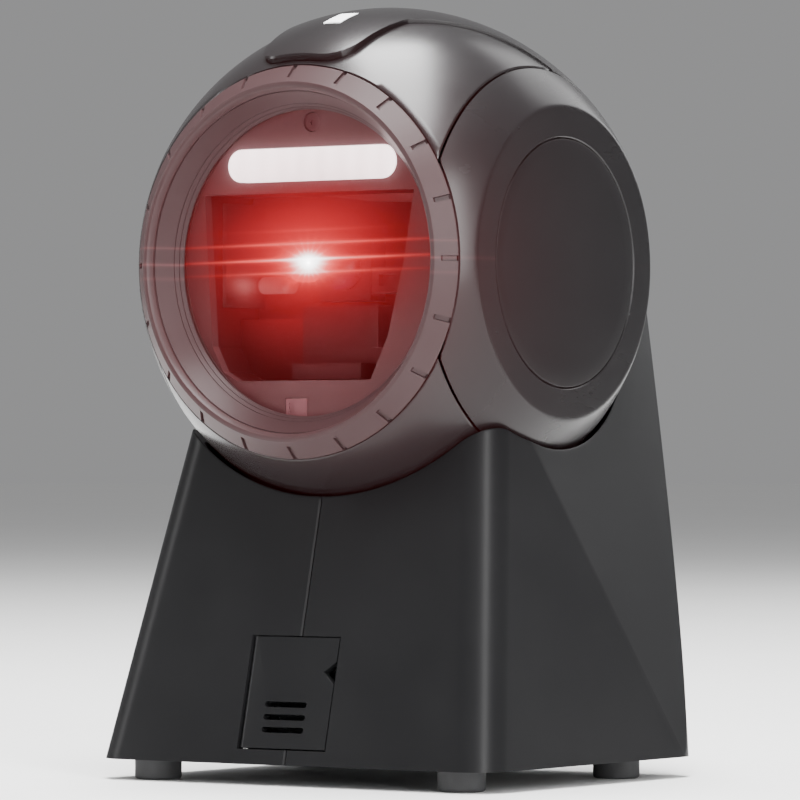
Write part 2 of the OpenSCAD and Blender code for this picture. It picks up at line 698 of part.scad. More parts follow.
module buzzer() color([0.1, 0.1, 0.1]) placed() at_head() translate([19, board_y + 1.65, -6])
    rotate([-90, 0, 0]) difference() {
        cylinder(r = 6, h = 5.5);
        translate([0, 0, 4]) cylinder(r = 1, h = 3);
    }

module status_lens() color([1, 1, 1]) placed() at_head() intersection() {
    translate([-2.05, -20.85, 40]) cube([4.1, 5.7, 20]);
    difference() {
        translate([0, -tongue_shift, 0]) sphere(r = tongue_r + 0.04);
        sphere(r = 46.6);
    }
}

module status_board() color([0.05, 0.3, 0.15]) placed() at_head() translate([-6, -22, 37]) {
    cube([12, 10, 1.2]);
    translate([4.5, 2.5, 1.15]) cube([3, 4, 1]);
}

stand_shell_left();
stand_shell_right();
bottom_plate();
rubber_feet();
plate_screws();
ballast_blocks();
ballast_screws();
interface_board();
cable_socket();
speaker_bracket();
speaker_frame();
speaker_cone();
service_door();
door_pin();
tilt_stem();
stem_screws();
stem_bushes();
stem_harness();
harness_clips();
front_shell();
rear_shell();
cheek_shell_left();
cheek_shell_right();
cheek_disc_left();
cheek_disc_right();
cheek_screws();
bezel_ring();
window_retainer();
scan_window();
window_gasket();
optical_tray();
light_bar();
light_bar_board();
tray_screw();
cavity_housing();
step_bracket();
side_block();
side_mirror();
top_mirror();
imager_module();
imager_lens();
aimer_lamp();
fill_lamps();
sensor_window();
sensor_board();
head_chassis();
tilt_axle();
axle_nut();
friction_washers();
decoder_board();
board_screws();
buzzer();
status_lens();
status_board();
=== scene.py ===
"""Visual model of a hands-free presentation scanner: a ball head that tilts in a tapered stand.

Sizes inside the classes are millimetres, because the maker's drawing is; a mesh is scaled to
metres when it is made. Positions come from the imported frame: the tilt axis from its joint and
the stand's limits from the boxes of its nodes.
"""
import json
import logging
import math
from dataclasses import dataclass, field
from enum import Enum
from typing import Callable, Optional, Sequence, Union

import bmesh
import bpy
import numpy as np
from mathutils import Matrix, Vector


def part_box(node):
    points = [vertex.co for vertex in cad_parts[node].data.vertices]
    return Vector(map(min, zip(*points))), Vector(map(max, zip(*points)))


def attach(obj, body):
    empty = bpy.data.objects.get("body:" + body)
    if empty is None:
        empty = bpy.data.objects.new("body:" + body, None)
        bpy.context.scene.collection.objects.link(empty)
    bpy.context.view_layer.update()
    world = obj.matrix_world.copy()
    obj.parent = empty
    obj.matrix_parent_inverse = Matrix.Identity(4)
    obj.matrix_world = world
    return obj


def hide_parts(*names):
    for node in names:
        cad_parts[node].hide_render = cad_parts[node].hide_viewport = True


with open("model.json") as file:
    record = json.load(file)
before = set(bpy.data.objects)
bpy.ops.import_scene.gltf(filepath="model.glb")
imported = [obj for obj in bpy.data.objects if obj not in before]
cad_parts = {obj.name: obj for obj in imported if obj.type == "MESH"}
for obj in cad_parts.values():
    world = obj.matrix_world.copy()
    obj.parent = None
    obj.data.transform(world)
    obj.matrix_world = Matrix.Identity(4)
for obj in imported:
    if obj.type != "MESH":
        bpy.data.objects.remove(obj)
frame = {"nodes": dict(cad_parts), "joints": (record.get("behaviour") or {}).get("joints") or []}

LOG = logging.getLogger("scanner")
MM = 0.001
MERGE_MM = 0.002
TURN = 2 * math.pi
Colour = tuple[float, float, float]
Grid = Union[float, np.ndarray]
Placing = Callable[[np.ndarray, np.ndarray, np.ndarray], np.ndarray]
Sinking = Callable[[np.ndarray, np.ndarray, np.ndarray], tuple[np.ndarray, np.ndarray]]
JET: Colour = (0.006, 0.006, 0.0065)


class Body(Enum):
    """The bodies that pieces ride on."""

    STAND = "stand"
    DOOR = "door"
    HEAD = "head"


# ---------------------------------------------------------------- shader expressions


class Value:
    """A number that varies over a surface; arithmetic on it adds Math nodes."""

    def __init__(self, recipe: "Recipe", socket: bpy.types.NodeSocket) -> None:
        """Keeps the recipe and the socket."""
        self.recipe = recipe
        self.socket = socket

    def _math(self, operation: str, *terms: Union["Value", float]) -> "Value":
        """Adds one Math node.

        Args:
            operation: the node's operation.
            terms: its inputs in order.

        Returns:
            The node's result.
        """
        return self.recipe.node("ShaderNodeMath", {"operation": operation}, dict(enumerate(terms)))

    @staticmethod
    def _operator(operation: str, swapped: bool = False) -> Callable[["Value", Union["Value", float]], "Value"]:
        """Makes the method behind one arithmetic sign.

        Args:
            operation: the Math node's operation.
            swapped: whether the other term comes first.

        Returns:
            The method.
        """
        def method(self: "Value", other: Union["Value", float]) -> "Value":
            """One Math node on the two terms."""
            return self._math(operation, other, self) if swapped else self._math(operation, self, other)
        return method

    __add__, __radd__ = _operator("ADD"), _operator("ADD", True)
    __sub__, __rsub__ = _operator("SUBTRACT"), _operator("SUBTRACT", True)
    __mul__, __rmul__ = _operator("MULTIPLY"), _operator("MULTIPLY", True)
    __truediv__, __rtruediv__ = _operator("DIVIDE"), _operator("DIVIDE", True)
    __pow__ = _operator("POWER")

    def size(self) -> "Value":
        """The value without its sign."""
        return self._math("ABSOLUTE", self)

    def at_least(self, floor: float) -> "Value":
        """The larger of the value and a floor."""
        return self._math("MAXIMUM", self, floor)

    def at_most(self, ceiling: float) -> "Value":
        """The smaller of the value and a ceiling."""
        return self._math("MINIMUM", self, ceiling)

    def cosine(self) -> "Value":
        """The value's cosine."""
        return self._math("COSINE", self)


Input = Union[Value, float, Sequence[float]]


class Recipe:
    """The node tree of one finish."""

    def __init__(self, name: str) -> None:
        """Makes an empty material.

        Args:
            name: the material's name.
        """
        self.material = bpy.data.materials.new(name)
        self.material.use_nodes = True
        self.tree = self.material.node_tree
        self.tree.nodes.clear()

    def node(self, kind: str, settings: dict, inputs: dict, output: Union[int, str] = 0) -> Value:
        """Adds a node: its settings first, then the values or links of its sockets.

        Args:
            kind: the node's type name.
            settings: properties, and "stops" for a ramp as (place, colour) pairs.
            inputs: values or links by socket name or number.
            output: which output to return.

        Returns:
            The chosen output.
        """
        node = self.tree.nodes.new(kind)
        for key, setting in settings.items():
            if key == "stops":
                ramp = node.color_ramp
                while len(ramp.elements) < len(setting):
                    ramp.elements.new(0.5)
                for element, (place, colour) in zip(ramp.elements, setting):
                    element.position, element.color = place, (*colour, 1.0)
            else:
                setattr(node, key, setting)
        for key, value in inputs.items():
            socket = node.inputs[key]
            if isinstance(value, Value):
                self.tree.links.new(value.socket, socket)
            elif isinstance(value, (tuple, list)) and len(value) == 3 and len(socket.default_value) == 4:
                socket.default_value = (*value, 1.0)
            else:
                socket.default_value = value
        return Value(self, node.outputs[output])

    def place(self) -> Value:
        """Object coordinates, in metres."""
        return self.node("ShaderNodeTexCoord", {}, {}, "Object")

    def axes(self) -> tuple[Value, Value, Value]:
        """The three object coordinates as separate values."""
        split = self.node("ShaderNodeSeparateXYZ", {}, {0: self.place()})
        outputs = split.socket.node.outputs
        return Value(self, outputs[0]), Value(self, outputs[1]), Value(self, outputs[2])

    def noise(self, scale: float, detail: float = 2.0, stretch: Sequence[float] = (1, 1, 1)) -> Value:
        """Smooth noise from 0 to 1.

        Args:
            scale: features per metre.
            detail: octaves.
            stretch: extra scale along each axis.

        Returns:
            The noise.
        """
        place = self.node("ShaderNodeMapping", {}, {"Vector": self.place(), "Scale": tuple(stretch)})
        return self.node("ShaderNodeTexNoise", {"noise_dimensions": "3D"},
                         {"Vector": place, "Scale": scale, "Detail": detail}, 0)

    def cells(self, scale: float) -> Value:
        """Distance to the nearest of scattered points, for pebbled textures.

        Args:
            scale: points per metre.

        Returns:
            The distance.
        """
        return self.node("ShaderNodeTexVoronoi", {}, {"Vector": self.place(), "Scale": scale}, "Distance")

    def blend(self, low: Input, high: Input, amount: Input) -> Value:
        """Mixes two colours.

        Args:
            low: the colour at 0.
            high: the colour at 1.
            amount: how much of the second.

        Returns:
            The mixed colour.
        """
        return self.node("ShaderNodeMix", {"data_type": "RGBA"}, {0: amount, 6: low, 7: high}, 2)

    def ramp(self, value: Value, stops: Sequence[tuple[float, Colour]]) -> Value:
        """Colours a value by a ramp."""
        return self.node("ShaderNodeValToRGB", {"stops": stops}, {0: value})

    def bump(self, height: Value, depth_mm: float) -> Value:
        """A normal from a height of 0 to 1, where 1 stands for the depth."""
        return self.node("ShaderNodeBump", {}, {"Height": height, "Distance": depth_mm * MM, "Strength": 1.0})

    def scaled(self, colour: Input, factor: Input) -> Value:
        """A colour times a number."""
        return self.node("ShaderNodeVectorMath", {"operation": "SCALE"}, {0: colour, "Scale": factor})

    def principled(self, inputs: dict) -> Value:
        """The main surface shader with the given sockets."""
        return self.node("ShaderNodeBsdfPrincipled", {}, inputs)

    def finish(self, shader: Value) -> bpy.types.Material:
        """Connects the shader to the output and returns the material."""
        output = self.tree.nodes.new("ShaderNodeOutputMaterial")
        self.tree.links.new(shader.socket, output.inputs["Surface"])
        return self.material


# ---------------------------------------------------------------- finishes


@dataclass(frozen=True)
class Glow:
    """Painted light: emission standing in for a lamp's light, which falls off with distance from the lamp.

    Attributes:
        centre: the lamp's middle in metres.
        reach_mm: distance at which the light is down to a quarter.
        colour: colour of the light.
        level: brightness next to the lamp.
        half_length_mm: half the lamp's length along X, for a bar.
        thin_mm: thickness of a level streak of light; 0 for a round glow.
    """

    centre: tuple[float, float, float]
    reach_mm: float
    colour: Colour
    level: float
    half_length_mm: float = 0.0
    thin_mm: float = 0.0

    def amount(self, recipe: Recipe) -> Value:
        """Level over (1 + (d/reach)^2)^2, where d is the distance to the lamp's middle line.

        In a streak the rise over its line counts by the streak's thickness instead.
        """
        x, y, z = recipe.axes()
        if self.thin_mm:
            along, inward = x - self.centre[0], y - self.centre[1]
            rise = (z - self.centre[2]) / (self.thin_mm * MM)
            spread = (along * along + inward * inward) / (self.reach_mm * MM) ** 2
            return self.level / (1.0 + rise * rise) ** 2.0 / (1.0 + spread) ** 2.0
        dx = ((x - self.centre[0]).size() - self.half_length_mm * MM).at_least(0.0)
        dy, dz = y - self.centre[1], z - self.centre[2]
        square = (dx * dx + dy * dy + dz * dz) / (self.reach_mm * MM) ** 2
        return self.level / (1.0 + square) ** 2.0


@dataclass(frozen=True)
class Plastic:
    """Moulded plastic with a fine eroded texture, faint handling marks and settled dust.

    Attributes:
        name: the material's name.
        colour: base colour.
        roughness: middle roughness.
        grain_mm: size of the texture's grains.
        grain_depth_mm: depth of the texture.
        smudge: how much the roughness wanders.
        dust: how much lighter the dusty patches are.
        specular: strength of the reflections.
        glows: lamps whose light is painted on it as emission.
    """

    name: str
    colour: Colour
    roughness: float
    grain_mm: float = 0.35
    grain_depth_mm: float = 0.006
    smudge: float = 0.08
    dust: float = 0.012
    specular: float = 0.5
    glows: tuple[Glow, ...] = ()

    def make(self) -> bpy.types.Material:
        """Builds the material: pebbled bump, wandering roughness, dusty tint and painted lamp light as
        emission.
        """
        recipe = Recipe(self.name)
        per_metre = 1 / (self.grain_mm * MM)
        grain = recipe.cells(per_metre) * 0.6 + recipe.noise(0.6 * per_metre, 3.0) * 0.4
        marks = recipe.noise(38.0, 4.0)
        wipe = recipe.noise(120.0, 3.0, (1.0, 0.35, 2.6))
        roughness = (marks - 0.5) * (2 * self.smudge) + (wipe - 0.5) * self.smudge + self.roughness
        dusty = tuple(min(1.0, part + self.dust) for part in self.colour)
        settled = (recipe.noise(64.0, 5.0) * 1.4 - 0.2).at_least(0.0).at_most(1.0)
        tint = recipe.blend(self.colour, dusty, settled)
        inputs = {"Base Color": tint, "Roughness": roughness.at_least(0.05).at_most(1.0),
                  "Normal": recipe.bump(grain, self.grain_depth_mm),
                  "Specular IOR Level": self.specular}
        # Painted light: the glows are emission standing in for the lamps' light falling on the plastic.
        if self.glows:
            light: Input = (0.0, 0.0, 0.0)
            for glow in self.glows:
                here = recipe.scaled(glow.colour, glow.amount(recipe))
                light = here if isinstance(light, tuple) else recipe.node(
                    "ShaderNodeVectorMath", {"operation": "ADD"}, {0: light, 1: here})
            inputs.update({"Emission Color": light, "Emission Strength": 1.0})
        return recipe.finish(recipe.principled(inputs))


@dataclass(frozen=True)
class Metal:
    """Plated or cast metal.

    Attributes:
        name: the material's name.
        colour: base colour.
        roughness: middle roughness.
        grain_mm: size of the cast or brushed texture.
        brushed: how much the texture is drawn out along X.
        depth_mm: depth of the texture.
    """

    name: str
    colour: Colour
    roughness: float
    grain_mm: float = 0.3
    brushed: float = 1.0
    depth_mm: float = 0.008

    def make(self) -> bpy.types.Material:
        """Builds the material: drawn-out noise in roughness and bump, with a stained tint."""
        recipe = Recipe(self.name)
        grain = recipe.noise(1 / (self.grain_mm * MM), 3.0, (1 / self.brushed, 1.0, 1.0))
        stain = recipe.noise(70.0, 4.0)
        dark = tuple(part * 0.72 for part in self.colour)
        return recipe.finish(recipe.principled({
            "Base Color": recipe.blend(dark, self.colour, stain),
            "Metallic": 1.0,
            "Roughness": ((grain - 0.5) * 0.3 + (stain - 0.5) * 0.12 + self.roughness).at_least(0.05),
            "Normal": recipe.bump(grain, self.depth_mm)}))


@dataclass(frozen=True)
class Rubber:
    """Matte rubber with a powdery bloom.

    Attributes:
        name: the material's name.
        colour: base colour.
        bloom: colour of the bloom.
    """

    name: str
    colour: Colour
    bloom: Colour

    def make(self) -> bpy.types.Material:
        """Builds the material: coarse noise in colour, fine pebbles in the bump."""
        recipe = Recipe(self.name)
        powder = (recipe.noise(180.0, 6.0) * 1.6 - 0.4).at_least(0.0).at_most(1.0)
        return recipe.finish(recipe.principled({
            "Base Color": recipe.blend(self.colour, self.bloom, powder),
            "Roughness": powder * 0.15 + 0.72,
            "Normal": recipe.bump(recipe.cells(3200.0), 0.012)}))


@dataclass(frozen=True)
class Laminate:
    """Printed circuit board with copper tracks under its solder mask.

    Attributes:
        name: the material's name.
        mask: colour of the mask on bare laminate.
        track: colour of the mask on copper.
    """

    name: str
    mask: Colour
    track: Colour

    def make(self) -> bpy.types.Material:
        """Builds the material: square-edged bands of track and fine weave."""
        recipe = Recipe(self.name)
        lanes = recipe.node("ShaderNodeTexWave", {"wave_type": "BANDS", "bands_direction": "DIAGONAL"},
                            {"Vector": recipe.place(), "Scale": 190.0, "Distortion": 5.0, "Detail": 0.0}, 0)
        bare, copper = (0, 0, 0), (1, 1, 1)
        lane_step = recipe.ramp(lanes, ((0.0, bare), (0.58, bare), (0.62, copper), (1.0, copper)))
        return recipe.finish(recipe.principled({
            "Base Color": recipe.blend(self.mask, self.track, lane_step),
            "Roughness": recipe.noise(300.0, 2.0) * 0.15 + 0.28,
            "Normal": recipe.bump(lanes, 0.02)}))


@dataclass(frozen=True)
class LitDiffuser:
    """Milky diffuser lit from behind by a row of lamps.

    Attributes:
        name: the material's name.
        colour: colour of the light.
        level: brightness.
        lamp_pitch_mm: distance between the lamps behind it.
        ripple: how much the lamps show through.
    """

    name: str
    colour: Colour
    level: float
    lamp_pitch_mm: float
    ripple: float

    def make(self) -> bpy.types.Material:
        """Builds the material: a cosine of the place along X ripples the light."""
        recipe = Recipe(self.name)
        x, _, _ = recipe.axes()
        wave = (x * (TURN / (self.lamp_pitch_mm * MM))).cosine()
        light = recipe.scaled(self.colour, wave * self.ripple + (1.0 - self.ripple))
        return recipe.finish(recipe.principled({
            "Base Color": (0.9, 0.9, 0.92), "Emission Color": light, "Emission Strength": self.level,
            "Roughness": recipe.noise(90.0) * 0.1 + 0.3,
            "Normal": recipe.bump(recipe.noise(1500.0), 0.004)}))


@dataclass(frozen=True)
class ClearLens:
    """Small glass or clear plastic lens, dark inside with a coated surface.

    Attributes:
        name: the material's name.
        colour: body colour.
        coating: tint of the coating.
        light: light that leaves it.
        level: brightness of that light.
    """

    name: str
    colour: Colour
    coating: Colour
    light: Colour = (0.0, 0.0, 0.0)
    level: float = 0.0

    def make(self) -> bpy.types.Material:
        """Builds the material: slow noise blends body and coating tints."""
        recipe = Recipe(self.name)
        inputs = {"Base Color": recipe.blend(self.colour, self.coating, recipe.noise(240.0, 1.0)),
                  "Roughness": recipe.noise(400.0) * 0.06 + 0.05, "Coat Weight": 1.0, "Coat Roughness": 0.03}
        if self.level:
            inputs.update({"Emission Color": self.light, "Emission Strength": self.level})
        return recipe.finish(recipe.principled(inputs))


@dataclass(frozen=True)
class LitWindow:
    """Clear window with a painted red haze, a painted star and fine painted streaks of light where the aiming
    lamp shines through.

    Every light falls off as 1 over (1 + (d/reach)^2)^power, with d measured along X and Z.

    Attributes:
        name: the material's name.
        lamp: where the lamp's beam crosses the window, in metres.
        haze: level, reach, rise over the lamp, weight of X and power of the painted haze of light.
        star: square of the reach, weight of X and power of the painted star's core.
        streaks: (rise, reach and level) of each painted level streak of light, in millimetres.
        streak_tilt: rise of a streak per millimetre along X.
        ray_angles: first angle, last angle and step of the star's rays, degrees.
        smear: strength of the wiping marks, real marks that show by painted light.
        veil: the least of the light that the window itself adds.
    """

    name: str
    lamp: tuple[float, float, float]
    haze: tuple[float, float, float, float, float] = (0.74, 18.5, 3.0, 0.33, 3.2)
    star: tuple[float, float, float] = (6.5, 0.28, 2.0)
    streaks: tuple[tuple[float, float, float], ...] = (
        (0.7, 22.0, 0.9), (3.7, 30.0, 0.42), (-1.8, 20.0, 0.4), (6.2, 20.0, 0.08))
    streak_tilt: float = 0.012
    ray_angles: tuple[int, int, int] = (8, 180, 21)
    smear: float = 0.08
    veil: float = 0.03

    def streak(self, dx: Value, dz: Value, rise: float, reach: float, level: float) -> Value:
        """A thin line of painted light, a third of a millimetre thick, that fades along X."""
        off = dz - rise - dx * self.streak_tilt
        return level / (1.0 + off * off * 9.0) ** 1.6 / (1.0 + dx * dx / reach ** 2) ** 1.5

    def ray(self, dx: Value, dz: Value, angle: int) -> Value:
        """A hair of painted light through the lamp at an angle, which fades within 5 mm."""
        turn = math.radians(angle)
        across = dx * math.sin(turn) - dz * math.cos(turn)
        return 0.35 / (1.0 + across * across * 22.0) / (1.0 + (dx * dx * 0.5 + dz * dz) / 12.0) ** 2.4

    def make(self) -> bpy.types.Material:
        """Builds the material: the sum of the painted lights, mixed over clear glass by its strength."""
        recipe = Recipe(self.name)
        x, _, z = recipe.axes()
        dx, dz = (x - self.lamp[0]) / MM, (z - self.lamp[2]) / MM
        # Painted light: the haze, star, streaks and rays are emission on the glass standing in for the aiming
        # lamp's beam and its flare.
        level, reach, rise, flat, power = self.haze
        high = dz - rise
        haze = level / (1.0 + (dx * dx * flat + high * high) / reach ** 2) ** power
        square, flat, power = self.star
        core = 1.0 / (1.0 + (dx * dx * flat + dz * dz) / square) ** power
        lines = sum(self.streak(dx, dz, *streak) for streak in self.streaks)
        rays = sum(self.ray(dx, dz, angle) for angle in range(*self.ray_angles))
        smears = (recipe.noise(60.0, 5.0, (1.0, 1.0, 3.0)) - 0.45).at_least(0.0) * self.smear
        amount = (haze + core + lines * 0.7 + rays + smears + self.veil).at_most(1.0)
        heat = recipe.ramp((core + lines * 0.5 + rays * 0.8).at_most(1.0), (
            (0.0, (0.86, 0.008, 0.012)), (0.3, (1.0, 0.12, 0.1)), (0.7, (1.0, 0.66, 0.62)), (1.0, (1, 1, 1))))
        light = recipe.scaled(heat, haze * 0.85 + core * 4.0 + lines * 1.5 + rays * 2.0 + 0.35)
        clear = recipe.node("ShaderNodeBsdfTransparent", {}, {"Color": (0.97, 0.9, 0.9)})
        skin = recipe.principled({"Base Color": (0.05, 0.008, 0.01), "Roughness": 0.06,
                                  "Emission Color": light, "Emission Strength": 1.0})
        recipe.material.surface_render_method = "DITHERED"
        return recipe.finish(recipe.node("ShaderNodeMixShader", {}, {0: amount, 1: clear, 2: skin}))


# ---------------------------------------------------------------- surfaces


@dataclass
class Sheet:
    """Points and faces of a closed surface, in millimetres."""

    points: np.ndarray
    faces: np.ndarray

    @classmethod
    def together(cls, parts: Sequence["Sheet"]) -> "Sheet":
        """Several surfaces as one."""
        starts = np.cumsum([0] + [len(part.points) for part in parts[:-1]])
        return cls(np.vstack([part.points for part in parts]),
                   np.vstack([part.faces + start for part, start in zip(parts, starts)]))


def even(count: int, shift: float = 0.0) -> np.ndarray:
    """Even angles round a turn, shifted by a part of a step."""
    return (np.arange(count) + shift) * TURN / count


def quads(index: np.ndarray) -> np.ndarray:
    """Corner numbers of each cell of a grid of point numbers."""
    return np.stack([index[:-1, :-1], index[:-1, 1:], index[1:, 1:], index[1:, :-1]], axis=-1)


def eased(count: int, edge: float = 0.02) -> np.ndarray:
    """Steps from 0 to 1, even apart from one short step at each end.

    Args:
        count: number of steps in the even part.
        edge: length of the short steps.

    Returns:
        The places.
    """
    return np.concatenate([[0.0], np.linspace(edge, 1 - edge, count), [1.0]])


def walled(outer: np.ndarray, inner: np.ndarray, keep: Optional[np.ndarray] = None, around: bool = False,
           chamfer: float = 0.0) -> Sheet:
    """Closes the space between two grids of points of the same shape.

    The outer grid is covered, the inner one is covered the other way round, and every free
    edge of the covered cells gets a wall between the two. Where cells are left out, that makes
    an opening with its own walls.

    Args:
        outer: rows x columns x 3 points of the outer surface.
        inner: the matching points of the inner surface.
        keep: which cells are covered; all when not given.
        around: whether the last column joins the first.
        chamfer: how far the outer border sinks towards the inner one, as a part of the wall.

    Returns:
        The closed surface.
    """
    outer = outer.copy()
    edge = np.zeros(outer.shape[:2], bool)
    edge[0] = edge[-1] = True
    if not around:
        edge[:, 0] = edge[:, -1] = True
    outer[edge] += chamfer * (inner[edge] - outer[edge])
    rows, columns = outer.shape[:2]
    index = np.arange(rows * columns).reshape(rows, columns)
    if around:
        index = np.concatenate([index, index[:, :1]], axis=1)
    cells = quads(index)
    cells = cells[keep] if keep is not None else cells.reshape(-1, 4)
    start, end = cells.reshape(-1), np.roll(cells, -1, axis=1).reshape(-1)
    total = rows * columns
    key = np.minimum(start, end) * total + np.maximum(start, end)
    _, place, count = np.unique(key, return_index=True, return_counts=True)
    free = place[count == 1]
    walls = np.stack([end[free], start[free], start[free] + total, end[free] + total], axis=-1)
    faces = np.vstack([cells, cells[:, ::-1] + total, walls])
    used, faces = np.unique(faces, return_inverse=True)
    points = np.vstack([outer.reshape(-1, 3), inner.reshape(-1, 3)])[used]
    return Sheet(points, faces.reshape(-1, 4))


def centres(grid: np.ndarray, around: bool = False) -> np.ndarray:
    """Middle of each cell of a grid of points."""
    if around:
        grid = np.concatenate([grid, grid[:, :1]], axis=1)
    return (grid[:-1, :-1] + grid[1:, :-1] + grid[:-1, 1:] + grid[1:, 1:]) / 4


def turned(profile: Sequence[tuple[float, float]], angles: np.ndarray, place: Placing,
           sink: Optional[Sinking] = None) -> Sheet:
    """Carries a closed profile round an axis.

    Args:
        profile: (radius, distance along the axis) points, in order round the section.
        angles: the steps round the axis.
        place: turns radius, distance and angle grids into points.
        sink: moves the radius and distance grids before they are placed.

    Returns:
        The closed surface, without the cells that run along the axis itself.
    """
    section = np.array(profile, float)
    radius, angle = np.meshgrid(section[:, 0], angles, indexing="ij")
    height = np.repeat(section[:, 1:2], len(angles), axis=1)
    if sink is not None:
        radius, height = sink(radius, height, angle)
    grid = place(radius, height, angle)
    index = np.arange(radius.size).reshape(radius.shape)
    index = np.concatenate([index, index[:1]], axis=0)
    cells = quads(np.concatenate([index, index[:, :1]], axis=1))
    off_axis = section[:, 0] > 0
    cells = cells[off_axis | np.roll(off_axis, -1)]
    return Sheet(grid.reshape(-1, 3), cells.reshape(-1, 4))


def arc(centre: tuple[float, float], radius: float, start: float, end: float,
        count: int) -> list[tuple[float, float]]:
    """Points of a circular arc, angles in degrees."""
    turn = np.radians(np.linspace(start, end, count))
    return [(centre[0] + radius * math.cos(a), centre[1] + radius * math.sin(a)) for a in turn]


def placed(mesh: bpy.types.Mesh, finish: bpy.types.Material, body: Body, stands_for: Sequence[str],
           sharp_deg: float) -> bpy.types.Object:
    """Shades a mesh and puts it into the scene as a piece of the same name.

    Args:
        mesh: the piece's mesh.
        finish: its material.
        body: the body it rides on.
        stands_for: the CAD nodes that it replaces.
        sharp_deg: edges turning more than this stay sharp.

    Returns:
        The object.
    """
    mesh.materials.clear()
    mesh.materials.append(finish)
    mesh.shade_smooth()
    mesh.set_sharp_from_angle(angle=math.radians(sharp_deg))
    piece = bpy.data.objects.new(mesh.name, mesh)
    bpy.context.scene.collection.objects.link(piece)
    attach(piece, body.value)
    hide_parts(*stands_for)
    LOG.info("%s: %d faces", mesh.name, len(mesh.polygons))
    return piece


def make_piece(name: str, sheet: Sheet, finish: bpy.types.Material, body: Body, slot: str,
               stands_for: Sequence[str], sharp_deg: float = 34.0) -> bpy.types.Object:
    """Puts a closed surface into the scene.

    Args:
        name: the piece's name.
        sheet: its surface in millimetres.
        finish: its material.
        body: the body it rides on.
        slot: the record's material slot; not used.
        stands_for: the CAD nodes that it replaces.
        sharp_deg: edges turning more than this stay sharp.

    Returns:
        The object.
    """
    mesh = bpy.data.meshes.new(name)
    mesh.from_pydata((sheet.points * MM).tolist(), [], sheet.faces.tolist())
    work = bmesh.new()
    work.from_mesh(mesh)
    bmesh.ops.remove_doubles(work, verts=work.verts, dist=MERGE_MM * MM)
    bmesh.ops.dissolve_degenerate(work, edges=work.edges, dist=MERGE_MM / 4 * MM)
    if work.calc_volume(signed=True) < 0:
        bmesh.ops.reverse_faces(work, faces=work.faces)
    open_edges = sum(1 for edge in work.edges if len(edge.link_faces) != 2)
    work.to_mesh(mesh)
    work.free()
    LOG.info("%s: %d open edges", name, open_edges)
    return placed(mesh, finish, body, stands_for, sharp_deg)


def softened(name: str, node: str, finish: bpy.types.Material, body: Body,
             width_mm: float) -> bpy.types.Object:
    """A merged copy of a CAD node with its sharp edges rounded, which stands for the node.

    Args:
        name: the piece's name.
        node: the CAD node.
        finish: its material.
        body: the body it rides on.
        width_mm: width of the rounding.

    Returns:
        The object.
    """
    mesh = frame["nodes"][node].data.copy()
    mesh.name = name
    work = bmesh.new()
    work.from_mesh(mesh)
    bmesh.ops.remove_doubles(work, verts=work.verts, dist=MERGE_MM * MM)
    bmesh.ops.dissolve_limit(work, angle_limit=math.radians(1.0), verts=work.verts, edges=work.edges)
    work.to_mesh(mesh)
    work.free()
    piece = placed(mesh, finish, body, [node], 30.0)
    rounding = piece.modifiers.new("rounding", "BEVEL")
    rounding.width, rounding.segments = width_mm * MM, 2
    rounding.limit_method, rounding.angle_limit = "ANGLE", math.radians(40.0)
    rounding.use_clamp_overlap = True
    return piece


# ---------------------------------------------------------------- the stand


